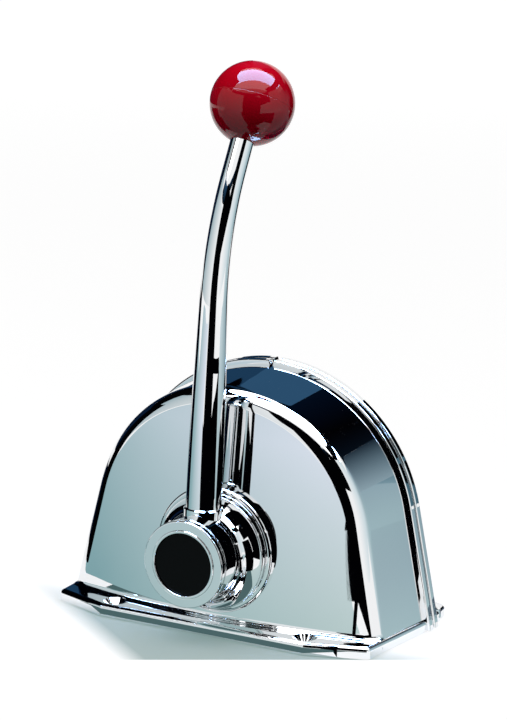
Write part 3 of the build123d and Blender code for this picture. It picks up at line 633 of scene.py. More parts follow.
def dome_section(half, column, inset):
    """One column: from the parting plane along the wall and round the rim."""
    arc = rolled_edge(half, column, inset, 14)
    end = abs(arc[0][0].y - PARTING_Y)
    wall = [wall_point(half, column, end * share, inset) for share in (0, 0.2, 0.5, 0.8, 0.97)]
    section = wall + arc
    if inset == 0:
        return [cove(half, point, outwards) for point, outwards in section]
    return [point for point, outwards in section]


def foot_row(half, first, last, inset):
    """Points over the face from one rim to the other, at the level of two columns' ends."""
    row = []
    for step in range(1, FACE_COLUMNS):
        share = step / FACE_COLUMNS
        x, z = first.x + (last.x - first.x) * share, first.z + (last.z - first.z) * share
        point = Vector((x, face_y(half, x, z, inset), z))
        row.append(cove(half, point, Vector((0, half["facing"], 0))) if inset == 0 else point)
    return row


print("points down a column:", len(dome_section(front, (1, 0.5), 0.0)))

# %% [markdown]
# ## The shaft boss
# The hub turns against a round seat cast into the front half. The seat is upright and the face
# leans back, so it stands out far more at its top than at its bottom. A disc united with the
# face would leave thin, uneven faces along that line. So the point where its rounded edge comes
# out of the face is searched for in each direction, and the face's own grid runs up to it.

# %% Shaft boss
BOSS_RADIUS, BOSS_FACE_Y, BOSS_EDGE = 34.2, -44.5, 1.8
BEARING_HOLE, BEARING_BOSS, BEARING_BOSS_END = 11.02, 15.5, -28.0


def boss_section(direction):
    """The shaft boss along one direction: from where it leaves the face to its bearing hole."""
    flat = BOSS_RADIUS - BOSS_EDGE

    def on_face(radius):
        return face_y(front, direction.x * radius, AXIS_Z + direction.y * radius)

    def edge(turn):
        return flat + BOSS_EDGE * math.sin(turn), BOSS_FACE_Y + BOSS_EDGE * (1 - math.cos(turn))

    low, high = 0.0, math.pi / 2
    for _ in range(40):
        turn = (low + high) / 2
        radius, y = edge(turn)
        low, high = (turn, high) if y < on_face(radius) else (low, turn)
    section = [edge(low)]
    if low > math.pi / 2 - 0.001:
        section = [(BOSS_RADIUS, on_face(BOSS_RADIUS))]
    section += [edge(low * (1 - step / 9)) for step in range(10)]
    return section + [(flat - 0.2, BOSS_FACE_Y), (20.0, BOSS_FACE_Y), (BEARING_HOLE, BOSS_FACE_Y)]


def middle_section(half, inset, direction):
    """What the face runs into round the shaft's axis, as (radius, y) pairs."""
    def on_face(radius):
        return face_y(half, direction.x * radius, AXIS_Z + direction.y * radius, inset)

    if half is rear:
        return [(radius, on_face(radius)) for radius in (8.0, 0.0)]
    if inset == 0:
        return boss_section(direction)
    return [
        (BEARING_BOSS, on_face(BEARING_BOSS)),
        (BEARING_BOSS, BEARING_BOSS_END),
        (BEARING_HOLE, BEARING_BOSS_END),
    ]


print("points from the face to the bearing:", len(boss_section(Vector((1.0, 0.0)))))


# %% One closed half
def housing_half(half):
    """Points and faces of one closed half: outer skin, inner skin, parting rim and foot."""
    points, faces = [], []

    def put(line):
        points.extend(line)
        return list(range(len(points) - len(line), len(points)))

    middles, rims, feet = [], [], []
    for inset in (0.0, WALL):
        grid = [put(dome_section(half, column, inset)) for column in columns]
        for first, second in zip(grid, grid[1:]):
            faces += strips(first, second)
        low_rows = []
        for level in range(FACE_LEVEL + 1):
            first, last = grid[level][-1], grid[-1 - level][-1]
            inner = put(foot_row(half, points[first], points[last], inset))
            low_rows.append([first, *inner, last])
        for lower, higher in zip(low_rows, low_rows[1:]):
            faces += strips(lower, higher)
        ring = [section[-1] for section in grid[FACE_LEVEL:len(grid) - FACE_LEVEL]]
        ring += low_rows[-1][-2:0:-1]
        directions = [Vector((points[i].x, points[i].z - AXIS_Z)).normalized() for i in ring]
        sections = [middle_section(half, inset, d) for d in directions]
        previous = ring
        for share in [0.008] + [step / 24 for step in range(1, 25)]:
            line = []
            for i, d, section in zip(ring, directions, sections):
                x = points[i].x + (d.x * section[0][0] - points[i].x) * share
                z = points[i].z + (AXIS_Z + d.y * section[0][0] - points[i].z) * share
                line.append(Vector((x, face_y(half, x, z, inset), z)))
            current = put(line)
            faces += strips(previous, current, closed=True)
            previous = current
        for row in range(1, len(sections[0])):
            current = put(
                [
                    Vector((d.x * s[row][0], s[row][1], AXIS_Z + d.y * s[row][0]))
                    for d, s in zip(directions, sections)
                ]
            )
            faces += strips(previous, current, closed=True)
            previous = current
        middles.append(previous)
        rims.append([section[0] for section in grid])
        feet.append(grid[0] + low_rows[0][1:-1] + grid[-1][::-1])
    faces += strips(*rims) + strips(*feet)
    if half is front:
        faces += strips(*middles, closed=True)
    return points, faces


print("rows of the foot below the flange's top:", FACE_LEVEL)

# %% [markdown]
# ## The flange
# The flange is the foot of the same casting: a flat plate with cut corners, rounded along its
# upper edge, with two countersunk holes in each half. A bevelled plate would round its lower
# edge too. So its border is drawn once for each row, a little further in as the edge turns over,
# and a tool opens its middle inside the dome's wall.

# %% Flange
FLANGE_EDGE, FLANGE_CORNER = 2.6, 3.0
FLANGE_BORDER = ((98.2, PARTING_Y), (93.5, 45.5), (61.0, 57.0))     # from the joint forwards


def flange_chain(half, inset):
    """The flange's outer border set in by inset, from one end of the parting plane to the other."""
    side = half["facing"]
    (start_x, start_y), *others = FLANGE_BORDER
    corners = [(-start_x, start_y)] + [(-x, side * y) for x, y in others]
    corners += [(-x, y) for x, y in reversed(corners)]
    radius = FLANGE_CORNER - inset
    chain, lines = [], []
    for first, second in zip(corners, corners[1:]):
        along = (Vector(second) - Vector(first)).normalized()
        inwards = Vector((-along.y, along.x)) * (-side)
        lines.append((Vector(first) + inwards * inset, along, inwards))
    start = lines[0][0]
    start += lines[0][1] * ((PARTING_Y - start.y) / lines[0][1].y)
    chain.append(start)
    for (point, along, inwards), (other, other_along, other_inwards) in zip(lines, lines[1:]):
        cross = along.x * other_along.y - along.y * other_along.x
        gap = other - point
        corner = point + along * ((gap.x * other_along.y - gap.y * other_along.x) / cross)
        half_turn = along.angle(other_along) / 2
        reach = radius * math.tan(half_turn)
        middle = corner - along * reach + inwards * radius
        for step in range(9):
            share = step / 8
            turn = 2 * half_turn
            out = (
                -inwards * math.sin((1 - share) * turn) - other_inwards * math.sin(share * turn)
            ) / math.sin(turn)
            chain.append(middle + out * radius)
    end, along = lines[-1][0], lines[-1][1]
    chain.append(end + along * ((PARTING_Y - end.y) / along.y))
    return chain


def flange_slab(half):
    """Points and faces of one half of the flange before its middle is opened."""
    points, faces, rows = [], [], []
    turns = [math.pi / 2 * step / 8 for step in range(9)]
    profile = [(0.0, 0.0), (0.0, FLANGE_TOP - FLANGE_EDGE - 0.1)]
    profile += [
        (FLANGE_EDGE * (1 - math.cos(t)), FLANGE_TOP - FLANGE_EDGE * (1 - math.sin(t)))
        for t in turns
    ]
    profile.append((FLANGE_EDGE + 0.15, FLANGE_TOP))
    for inset, z in profile:
        chain = flange_chain(half, inset)
        rows.append(list(range(len(points), len(points) + len(chain))))
        points += [Vector((p.x, p.y, z)) for p in chain]
    for lower, higher in zip(rows, rows[1:]):
        faces += strips(lower, higher)
    end = [row[0] for row in rows] + [row[-1] for row in reversed(rows)]
    faces += [rows[0], rows[-1], end]
    return points, faces


print("points round the flange:", len(flange_chain(front, 0.0)))

# %% [markdown]
# ## Opening the flange
# The cables come up through the open middle of the flange, and flat-head screws hold it to the
# deck through four countersunk holes. Both could be built into the plate's own faces, with much
# care at every corner. A cutter and a drill are simpler: closed tools that a Boolean takes
# away. They reach well past the plate, because a Boolean is unsure where two faces coincide.

# %% Tools that open the flange
OPENING_FROM, OPENING_TO = -4.0, 12.0           # heights, well past both faces of the flange
DECK_HOLE_X, DECK_HOLE_Y = 57.15, 47.625
DECK_HOLE, DECK_HOLE_MOUTH = 3.4, 6.35          # radii


def foot_prism(half):
    """Points and faces of the tool that opens the flange inside the dome's wall."""
    middle = WALL * 0.6                         # where the opening's border runs in the wall
    arc = [Vector((p.x, p.y)) for p, n in reversed(rolled_edge(half, (1, 0.0), middle, 8))]
    corner = wall_point(half, (1, 0.0), 0.0, middle)[0]
    right = arc + [Vector((corner.x, corner.y)), Vector((corner.x, corner.y - half["facing"] * 3))]
    across = [arc[0].x * (step / 15 - 1) for step in range(1, 30)]
    loop = [Vector((-p.x, p.y)) for p in reversed(right)]
    loop += [Vector((x, face_y(half, x, FOOT_Z, middle))) for x in across] + right
    count = len(loop)
    points = [Vector((p.x, p.y, z)) for z in (OPENING_FROM, OPENING_TO) for p in loop]
    low, high = list(range(count)), list(range(count, 2 * count))
    return points, [low, high] + strips(low, high, closed=True)


def countersink(x, y):
    """Tool for a deck screw's hole: a cone over a round hole."""
    cone = [(9.4, DECK_HOLE_MOUTH + 0.01), (FLANGE_TOP, DECK_HOLE_MOUTH)]
    cone += [(2.96, DECK_HOLE), (-2.0, DECK_HOLE)]
    points, rings = [], []
    for z, radius in cone:
        ring = []
        for step in range(64):
            turn = 2 * math.pi * step / 64
            ring.append(len(points))
            points.append((x + radius * math.cos(turn), y + radius * math.sin(turn), z))
        rings.append(ring)
    faces = [rings[0], rings[-1]]
    for ring, following in zip(rings, rings[1:]):
        faces += strips(ring, following, closed=True)
    return piece_from("countersink", points, faces)


print("deck holes:", 2 * DECK_HOLE_X, "by", 2 * DECK_HOLE_Y, "mm apart")

# %% [markdown]
# ## Both halves
# Inside, four posts take the screws that draw the halves together. In the rear half their heads
# sit in round pockets. Posts are united with the casting and holes are cut from it with Booleans,
# as a drill would make them. The bead stays a closed body of its own, rooted in the wall's metal.

# %% Build both halves
SCREW_PLACES = [(side * x, z) for x, z in ((81.4, 34.0), (50.2, 104.6)) for side in (-1, 1)]
SCREW_SEAT, SCREW_POCKET = 25.8, 4.6
POST_START, POST_END, POST_RADIUS = 7.0, 29.0, 5.5
TAPPED_FROM, TAPPED, SCREW_BORE = 11.0, 2.42, 2.6


def joined(name, parts):
    """One object from several closed meshes."""
    bm = bmesh.new()
    for part in parts:
        bm.from_mesh(part.data)
    bm.to_mesh(parts[0].data)
    bm.free()
    for part in parts[1:]:
        bpy.data.objects.remove(part)
    parts[0].name = name
    parts[0].data.name = name
    finished(parts[0].data, parts[0].data.materials[0])
    return parts[0]


def screw_hole(half, x, z):
    """Tool for a shell screw: a tapped hole in front, a bore with a pocket behind."""
    past = PARTING_Y - half["facing"]           # a little past the joint
    if half is front:
        profile = [(TAPPED_FROM, 0.0), (TAPPED_FROM, TAPPED), (past, TAPPED), (past, 0.0)]
    else:
        profile = [(past, 0.0), (past, SCREW_BORE), (SCREW_SEAT, SCREW_BORE)]
        profile += [(SCREW_SEAT, SCREW_POCKET), (60.0, SCREW_POCKET), (60.0, 0.0)]
    return turned("hole", profile, origin=(x, 0.0, z), turns=48)


made = []                           # (object, body, material slot, nodes it replaces)
for half, name, node in (
    (front, "front_housing", "front_shell"), (rear, "rear_housing", "rear_shell")
):
    dome_piece = piece_from(name, *housing_half(half))
    flange_piece = piece_from(name + "_flange", *flange_slab(half))
    cut(flange_piece, piece_from("opening", *foot_prism(half)))
    for side in (-1, 1):
        hole = (side * DECK_HOLE_X, half["facing"] * DECK_HOLE_Y)
        cut(dome_piece, countersink(*hole))
        cut(flange_piece, countersink(*hole))
    posts, holes = [], []
    for x, z in SCREW_PLACES:
        ends = (POST_START, PARTING_Y) if half is front else (PARTING_Y, POST_END)
        posts.append(rod((x, 0.0, z), ALONG_Y, *ends, POST_RADIUS))
        holes.append(screw_hole(half, x, z))
    cut(dome_piece, joined("posts", posts), "UNION")
    cut(dome_piece, joined("holes", holes))
    bead_piece = piece_from(name + "_bead", *bead_band(half))
    housing = joined(name, [dome_piece, flange_piece, bead_piece])
    made.append((housing, "housing", "chrome_housing", [node]))
    print(name, len(housing.data.polygons), "faces")

# %% [markdown]
# ## The hub
# The hub turns on the shaft and carries the lever. It is a barrel that flares into a skirt, with
# a narrow groove behind its front, a well for the push button and a short boss that takes the
# lever. A turned part is best drawn as half a section and spun, and each corner of the section
# gets its small round first, because a chrome edge is read by the thin line of light on it.

# %% Places of the lever
FOOT = Vector((0.0, -56.2, 69.5))
LOWER = Vector((0.0, math.sin(math.radians(2.8)), math.cos(math.radians(2.8))))
UPPER = Vector((0.0, math.sin(math.radians(28.0)), math.cos(math.radians(28.0))))
BEND = FOOT + LOWER * 141.6
BALL = BEND + UPPER * 73.9
FOOT_RADIUS, TIP_RADIUS, BALL_RADIUS, SEAT = 9.4, 6.2, 22.19, 20.0
SPIGOT, SPIGOT_RADIUS = 15.0, 5.0
BAR_CLEARANCE, BALL_CLEARANCE = 0.2, 0.3        # round the bar, in the hub and in the ball
print("the ball's centre is", round(BALL.z, 1), "mm above the deck")

# %% Hub
HUB_FRONT, HUB_RADIUS, BARREL_END = -76.7, 23.2, -59.2
SKIRT_BACK, SKIRT_RADIUS, SKIRT_RIM, SKIRT_STEP = -45.0, 31.2, 3.4, 0.6
WELL, WELL_FLOOR = 18.22, -64.2
SHAFT_SEAT, SHAFT_BORE, STEM_BORE = -62.0, 8.02, 3.2
GROOVE_FROM, GROOVE_TO, GROOVE_DEPTH = HUB_FRONT + 3.2, HUB_FRONT + 4.4, 0.8
LEVER_BOSS, LEVER_BOSS_CHAMFER = 10.4, 0.7
flare_run = SKIRT_BACK - SKIRT_RIM - BARREL_END
flare_rise = SKIRT_RADIUS - SKIRT_STEP - HUB_RADIUS
flare_radius = (flare_run**2 + flare_rise**2) / (2 * flare_rise)
flare_turn = math.asin(flare_run / flare_radius)
flare = [
    (
        BARREL_END + flare_radius * math.sin(flare_turn * step / 18),
        HUB_RADIUS + flare_radius * (1 - math.cos(flare_turn * step / 18)),
    )
    for step in range(19)
]
front_rim = [(WELL_FLOOR, WELL), (HUB_FRONT, WELL), (HUB_FRONT, HUB_RADIUS)]
front_rim += [(GROOVE_FROM, HUB_RADIUS), (GROOVE_FROM, HUB_RADIUS - GROOVE_DEPTH)]
front_rim += [(GROOVE_TO, HUB_RADIUS - GROOVE_DEPTH), (GROOVE_TO, HUB_RADIUS)]
front_rim += [(BARREL_END - 1, HUB_RADIUS)]
hub_profile = rounded(front_rim, (0, 0.35, 0.8, 0.25, 0.15, 0.15, 0.25, 0))
hub_profile += flare
skirt = [flare[-1], (SKIRT_BACK - SKIRT_RIM, SKIRT_RADIUS), (SKIRT_BACK, SKIRT_RADIUS)]
skirt += [(SKIRT_BACK, SHAFT_BORE), (SHAFT_SEAT, SHAFT_BORE)]
skirt += [(SHAFT_SEAT, STEM_BORE), (WELL_FLOOR, STEM_BORE)]
hub_profile += rounded(skirt, (0, 0.3, 0.6, 0.3, 0, 0, 0))[1:]
hub = turned("hub_visual", hub_profile, "chrome_hub", turns=192)
boss = rod(FOOT, LOWER, -SPIGOT, 0.0, LEVER_BOSS, LEVER_BOSS_CHAMFER, "chrome_hub")
cut(boss, rod(SHAFT_AXIS, ALONG_Y, HUB_FRONT - 2, BARREL_END, (WELL + HUB_RADIUS) / 2))
cut(hub, boss, "UNION")
cut(hub, rod(FOOT, LOWER, 0.0, SKIRT_RADIUS, FOOT_RADIUS + BAR_CLEARANCE))
made.append((hub, "lever_arm", "chrome_hub", ["hub"]))
print("hub:", len(hub.data.polygons), "faces")

# %% [markdown]
# ## Bezel and ball
# The bezel is a thin bright ring pressed into the well round the push button. The ball was
# moulded in two halves: a fine seam runs round it, square to the bar. A ready-made sphere has no
# seam and no flat seat, so the ball is spun from a section too.

# %% Bezel
BEZEL_BORE, BEZEL_RADIUS, BEZEL_LENGTH, BEZEL_LIP = 16.7, 18.2, 7.0, 0.5
bezel_profile = rounded(
    [
        (HUB_FRONT - BEZEL_LIP, BEZEL_BORE), (HUB_FRONT - BEZEL_LIP, BEZEL_RADIUS),
        (HUB_FRONT + BEZEL_LENGTH, BEZEL_RADIUS), (HUB_FRONT + BEZEL_LENGTH, BEZEL_BORE),
    ],
    (0.5, 0.5, 0.2, 0.2),
)
bezel = turned("bezel", bezel_profile, "chrome_bezel", turns=160)
made.append((bezel, "lever_arm", "chrome_bezel", ["button_bezel"]))
print("bezel:", len(bezel.data.polygons), "faces")

# %% Ball
SEAM_DEPTH, SEAM_HALF, SEAM_ROW = 0.09, 0.008, 0.012    # mm, and two turns in radians


def ball_profile():
    """The ball's section, along the bar: seat, sphere with its seam, pole."""
    level = math.pi / 2
    bottom = math.pi - math.asin((TIP_RADIUS + BALL_CLEARANCE) / BALL_RADIUS)
    seat_z = -SEAT + 0.02
    line = [bottom - (bottom - level - SEAM_ROW) * s / 40 for s in range(41)]
    line += [level + t for t in (SEAM_HALF, 0.005, 0.002, -0.002, -0.005, -SEAM_HALF)]
    line += [(level - SEAM_ROW) * (1 - s / 44) for s in range(45)]
    section = [(seat_z, 0.0), (seat_z, TIP_RADIUS + BALL_CLEARANCE)]
    for turn in line:
        radius = BALL_RADIUS - SEAM_DEPTH * max(0.0, 1 - abs(turn - level) / SEAM_HALF)
        section.append((radius * math.cos(turn), radius * math.sin(turn)))
    section[-1] = (BALL_RADIUS, 0.0)
    return section


ball = turned("ball", ball_profile(), "red_knob", BALL, UPPER, 144)
made.append((ball, "lever_arm", "red_knob", ["knob"]))
print("ball:", len(ball.data.polygons), "faces")

# %% [markdown]
# ## The lever
# The lever is a forged round bar, bent once and tapered towards the ball. A bevelled curve would
# do, but its radius is awkward to steer. Its shape follows a rule, so Geometry Nodes sweep it:
# a circle runs along the bent line, and its radius falls from the foot to the tip on a cosine.
# The two ends are square to the line, and a spigot at the foot and a stud at the tip hold it.

# %% Helpers for Geometry Nodes
def node_group(name, inputs):
    """A new group with named inputs: the tree, its input's sockets, a way to add nodes."""
    tree = bpy.data.node_groups.new(name, "GeometryNodeTree")
    for label, kind in {"Geometry": "Geometry", **inputs, "Finish": "Material"}.items():
        tree.interface.new_socket(label, in_out="INPUT", socket_type="NodeSocket" + kind)
    tree.interface.new_socket("Geometry", in_out="OUTPUT", socket_type="NodeSocketGeometry")

    def node(kind, **settings):
        added = tree.nodes.new(kind)
        for key, value in settings.items():
            setattr(added, key, value)
        return added

    return tree, node("NodeGroupInput").outputs, node


def closing(given, node, shape):
    """Links that end a group: instances made real, the finish set, the mesh handed out."""
    real, paint = node("GeometryNodeRealizeInstances"), node("GeometryNodeSetMaterial")
    return (
        (shape, real.inputs[0]),
        (real.outputs[0], paint.inputs["Geometry"]),
        (given["Finish"], paint.inputs["Material"]),
        (paint.outputs[0], node("NodeGroupOutput").inputs[0]),
    )


def baked(obj, tree, **values):
    """Sets a node group's inputs, evaluates it and keeps the mesh without the modifier."""
    modifier = obj.modifiers.new("nodes", "NODES")
    modifier.node_group = tree
    for item in tree.interface.items_tree:
        key = item.name.replace(" ", "_")
        if item.in_out == "INPUT" and key in values:
            modifier[item.identifier] = values[key]
    applied(obj)


print("node group helpers ready")


# %% Node group of the tapered bar
def sweep_tree():
    """Fillets a bent line and sweeps a tapered round section along it."""
    sizes = {label: "Float" for label in ("Bend radius", "Foot radius", "Tip radius")}
    tree, given, node = node_group("tapered_bar", sizes)
    line = node("GeometryNodeMeshToCurve")
    fillet = node("GeometryNodeFilletCurve", mode="POLY")
    fillet.inputs["Count"].default_value = 120
    even = node("GeometryNodeResampleCurve")
    even.inputs["Count"].default_value = 240
    along = node("GeometryNodeSplineParameter")
    wave = node("ShaderNodeMath", operation="COSINE")
    turn = node("ShaderNodeMath", operation="MULTIPLY")
    turn.inputs[1].default_value = math.pi
    radius = node("ShaderNodeMapRange")
    radius.inputs[1].default_value, radius.inputs[2].default_value = -1.0, 1.0
    circle = node("GeometryNodeCurvePrimitiveCircle")
    circle.inputs["Resolution"].default_value = 96
    circle.inputs["Radius"].default_value = 1.0
    sweep = node("GeometryNodeCurveToMesh")
    sweep.inputs["Fill Caps"].default_value = True
    for source, target in (
        (given["Geometry"], line.inputs[0]),
        (line.outputs[0], fillet.inputs["Curve"]),
        (given["Bend radius"], fillet.inputs["Radius"]),
        (fillet.outputs[0], even.inputs["Curve"]),
        (along.outputs["Factor"], turn.inputs[0]),
        (turn.outputs[0], wave.inputs[0]),
        (wave.outputs[0], radius.inputs[0]),
        (given["Tip radius"], radius.inputs[3]),
        (given["Foot radius"], radius.inputs[4]),
        (even.outputs[0], sweep.inputs["Curve"]),
        (circle.outputs[0], sweep.inputs["Profile Curve"]),
        (radius.outputs[0], sweep.inputs["Scale"]),
        *closing(given, node, sweep.outputs[0]),
    ):
        tree.links.new(source, target)
    return tree


bar_group = sweep_tree()
print("nodes in the bar's group:", len(bar_group.nodes))

# %% Lever
BEND_RADIUS = 160.0
STUD_RADIUS, STUD_LENGTH, STUD_CHAMFER = 4.0, 14.0, 0.5
APART = 0.01                        # so that the bar's ends and its pins stay closed bodies
spine = bpy.data.meshes.new("lever_bar")
tip = BALL - UPPER * SEAT
spine.from_pydata([FOOT * MM, BEND * MM, tip * MM], [(0, 1), (1, 2)], [])
bar = bpy.data.objects.new("lever_bar", spine)
scene.collection.objects.link(bar)
baked(
    bar, bar_group, Bend_radius=BEND_RADIUS * MM, Foot_radius=FOOT_RADIUS * MM,
    Tip_radius=TIP_RADIUS * MM, Finish=finishes["chrome_lever"],
)
finished(bar.data, "chrome_lever")
spigot = rod(FOOT, LOWER, -SPIGOT, -APART, SPIGOT_RADIUS, finish="chrome_lever")
stud = rod(tip, UPPER, APART, STUD_LENGTH, STUD_RADIUS, STUD_CHAMFER, "chrome_lever")
lever_bar = joined("lever_bar", [bar, spigot, stud])
made.append((lever_bar, "lever_arm", "chrome_lever", ["lever"]))
print("lever:", len(lever_bar.data.polygons), "faces")

# %% [markdown]
# ## Screws of the rear half
# Four slotted cheese-head screws hold the halves together. They could be copied by hand, but
# then all four slots would stand alike, which no hand leaves them. One screw is modelled, and
# Geometry Nodes stand it at each of the four places, turned by chance from a fixed seed.

# %% Node group of the screws
def spread_tree():
    """Stands a piece on each point, each turned its own way about Y."""
    tree, given, node = node_group("screws_on_points", {"Piece": "Object", "Seed": "Int"})
    points = node("GeometryNodeMeshToPoints")
    piece = node("GeometryNodeObjectInfo")
    chance = node("FunctionNodeRandomValue")
    chance.inputs[3].default_value = 2 * math.pi
    euler = node("ShaderNodeCombineXYZ")
    turn = node("FunctionNodeEulerToRotation")
    stand = node("GeometryNodeInstanceOnPoints")
    for source, target in (
        (given["Geometry"], points.inputs[0]),
        (given["Piece"], piece.inputs[0]),
        (given["Seed"], chance.inputs["Seed"]),
        (chance.outputs[1], euler.inputs["Y"]),
        (euler.outputs[0], turn.inputs[0]),
        (points.outputs[0], stand.inputs["Points"]),
        (piece.outputs["Geometry"], stand.inputs["Instance"]),
        (turn.outputs[0], stand.inputs["Rotation"]),
        *closing(given, node, stand.outputs[0]),
    ):
        tree.links.new(source, target)
    return tree


screw_group = spread_tree()
print("nodes in the screws' group:", len(screw_group.nodes))

# %% Shell screws
SCREW_RADIUS, SCREW_END = 2.4, -14.6
HEAD_RADIUS, HEAD_TOP = 4.4, 3.0
SLOT_FLOOR, SLOT_HALF, SLOT_REACH = 2.0, 0.5, 6.0
screw_profile = [(SCREW_END, 0.0), (SCREW_END, SCREW_RADIUS), (0.0, SCREW_RADIUS)]
screw_profile += [(0.0, HEAD_RADIUS), (HEAD_TOP, HEAD_RADIUS), (HEAD_TOP, 0.0)]
screw_profile = rounded(screw_profile, (0, 0.6, 0.15, 0.2, 0.6, 0))
screw = turned("screw", screw_profile, "steel_screws", (0, 0, 0), turns=48)
slot_corners = [
    (x, y, z)
    for x in (-SLOT_REACH, SLOT_REACH)
    for y in (SLOT_FLOOR, HEAD_TOP + 2)
    for z in (-SLOT_HALF, SLOT_HALF)
]
slot_faces = [(0, 1, 3, 2), (4, 5, 7, 6), (0, 1, 5, 4), (2, 3, 7, 6), (0, 2, 6, 4), (1, 3, 7, 5)]
cut(screw, piece_from("slot", slot_corners, slot_faces, "steel_screws"))
seats = bpy.data.meshes.new("shell_screws_visual")
seats.from_pydata([Vector((x, SCREW_SEAT, z)) * MM for x, z in SCREW_PLACES], [], [])
shell_screws = bpy.data.objects.new("shell_screws_visual", seats)
scene.collection.objects.link(shell_screws)
baked(shell_screws, screw_group, Piece=screw, Seed=4, Finish=finishes["steel_screws"])
bpy.data.objects.remove(screw)
finished(shell_screws.data, "steel_screws")
made.append((shell_screws, "housing", "steel_screws", ["shell_screws"]))
print("screws:", len(shell_screws.data.polygons), "faces")

# %% [markdown]
# ## Dressing the parts
# The plain inner pieces, such as the gears, the plate and the springs, already have their true
# shape as solids. Modelling them again would gain nothing, so they are shown as they are and get
# their finish by the slot that the record gives. Each modelled piece is tied to the body that
# carries it and stands for its solid.

# %% Dress the solids that stay and tie the pieces to their bodies
for node_name, node in nodes.items():
    slot_name = next(
        s["material_slot"] for s in frame["record"]["subparts"] if s["node"] == node_name
    )
    node.data.materials.clear()
    node.data.materials.append(finishes[slot_name])

for obj, body, slot_name, replaced in made:
    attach(obj, body)
    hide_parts(*replaced)
print("modelled pieces:", len(made), "solids shown:", len(nodes) - len(made))

# %% [markdown]
# ## Studio
# Chrome has hardly a colour of its own: it shows the room. A panorama of a room could be wrapped
# round the world, but then no line in the metal can be moved by itself. So the room is a white
# studio with one large overhead softbox, and cards stand round the object as they would in a
# real studio: black ones draw the dark lines, and tinted ones fill the big faces. The cards are
# seen by reflections alone. They cast no shadow and give no light.


# %% What a ray sees
def seen_directly(mat):
    """1 for rays from the camera, off metal and through glass, 0 for soft bounced light."""
    kinds = ("Is Camera Ray", "Is Glossy Ray", "Is Transmission Ray")
    camera_ray, off_metal, through_glass = mat.add("ShaderNodeLightPath", output=kinds)
    return camera_ray.math("MAXIMUM", off_metal).math("MAXIMUM", through_glass)


def across_line(mat, normal, point, low, high):
    """0 to 1 across a line on the floor, from low to high metres past it along its normal."""
    dot = {"operation": "DOT_PRODUCT"}
    ahead = mat.add("ShaderNodeVectorMath", dot, mat.place(), normal, output=1)
    offset = sum(n * p for n, p in zip(normal, point))
    return mat.spread(ahead, offset + low, offset + high, 0.0, 1.0)


print("ray masks ready")

# %% [markdown]
# ## Floor, world and softbox
# The floor is pale and a little darker near the object, and a grey-teal patch lies under the
# flange's left front, where a real table would be in the shade. A shadow that soft would need
# many lamps, so the patch is painted with three straight masks. The real shadow of the softbox
# still falls on the floor. From below the floor is clear, so the underside can be looked at.
# The world is white where it is seen and dim where it would light the object, so that the white
# background costs no contrast.

# %% Floor
FLOOR_Z, FLOOR_HALF = -0.0005, 6.0
PATCH = (0.22, 0.33, 0.32)
material, mat = new_recipe("floor")
away = mat.add("ShaderNodeVectorMath", {"operation": "LENGTH"}, mat.place(), output=1)
white = mat.spread(away, 0.3, 2.2, 0.80, 1.0)
patch = across_line(mat, (0.621, 0.784, 0.0), (-0.053, -0.0735, 0.0), -0.009, 0.005)
patch = patch * across_line(mat, (-0.549, 0.836, 0.0), (0.0429, -0.0766, 0.0), -0.0003, 0.0003)
patch = patch * across_line(mat, (0.0, -1.0, 0.0), (0.0, -0.03, 0.0), -0.01, 0.02)
shade = mat.mix(patch, (1.0, 1.0, 1.0), PATCH)
glow = mat.add("ShaderNodeEmission", None, shade, white * seen_directly(mat))
soft = mat.add("ShaderNodeBsdfDiffuse", None, (0.25, 0.25, 0.25, 1.0))
below = mat.add("ShaderNodeNewGeometry", output=6)
clear = mat.add("ShaderNodeBsdfTransparent")
lit = mat.add("ShaderNodeAddShader", None, soft, glow)
mat.add("ShaderNodeOutputMaterial", None, mat.add("ShaderNodeMixShader", None, below, lit, clear))
mesh = bpy.data.meshes.new("floor")
floor_corners = ((-1, -1), (1, -1), (1, 1), (-1, 1))
mesh.from_pydata(
    [(x * FLOOR_HALF, y * FLOOR_HALF, FLOOR_Z) for x, y in floor_corners], [], [(0, 1, 2, 3)]
)
mesh.materials.append(material)
floor = bpy.data.objects.new("floor", mesh)
floor.visible_diffuse = False
scene.collection.objects.link(floor)
print("floor", 2 * FLOOR_HALF, "m square")

# %% World and softbox
DIM = 0.05                          # strength of the world for soft bounced light
world = bpy.data.worlds.new("studio")
scene.world = world
room = Recipe(world)
strength = room.spread(seen_directly(room), 0.0, 1.0, DIM, 1.0)
background = room.add("ShaderNodeBackground", None, (1.0, 1.0, 1.0, 1.0), strength)
room.add("ShaderNodeOutputWorld", None, background)

key = bpy.data.lights.new("softbox", "AREA")
key.shape, key.size, key.size_y, key.energy = "RECTANGLE", 2.63, 1.41, 26.0
key_obj = bpy.data.objects.new("softbox", key)
key_obj.location = (-0.013, -0.231, 1.28)
key_obj.rotation_euler = (0.0, 0.0, math.radians(28.6))
scene.collection.objects.link(key_obj)
print("softbox", key.energy, "W")

# %% [markdown]
# ## Cards
# A card is a sheet that glows in one colour, or blends between the colours of its four corners.
# Planes and lamps could be placed by eye, but it's quicker to ask where a face looks: the low
# cards on the floor fill the front face and the dome's foot, upright flags cut them off, and the
# cards on a globe round the housing fill what the crown, the wall and the lever see further up.


# %% Shapes of the cards
def flat(*corners):
    """A flat shape between near left, near right, far left and far right corners."""
    near_left, near_right, far_left, far_right = (Vector(c) for c in corners)
    return lambda u, v: near_left.lerp(near_right, u).lerp(far_left.lerp(far_right, u), v)


def on_floor(*corners, height=0.0008):
    """A level shape from four (x, y) corners, just above the floor."""
    return flat(*((x, y, height) for x, y in corners))


def upright(start, end, *levels):
    """An upright shape over a line on the floor: low and high at its start, then at its end."""
    low, high, end_low, end_high = levels
    return flat((*start, low), (*end, end_low), (*start, high), (*end, end_high))


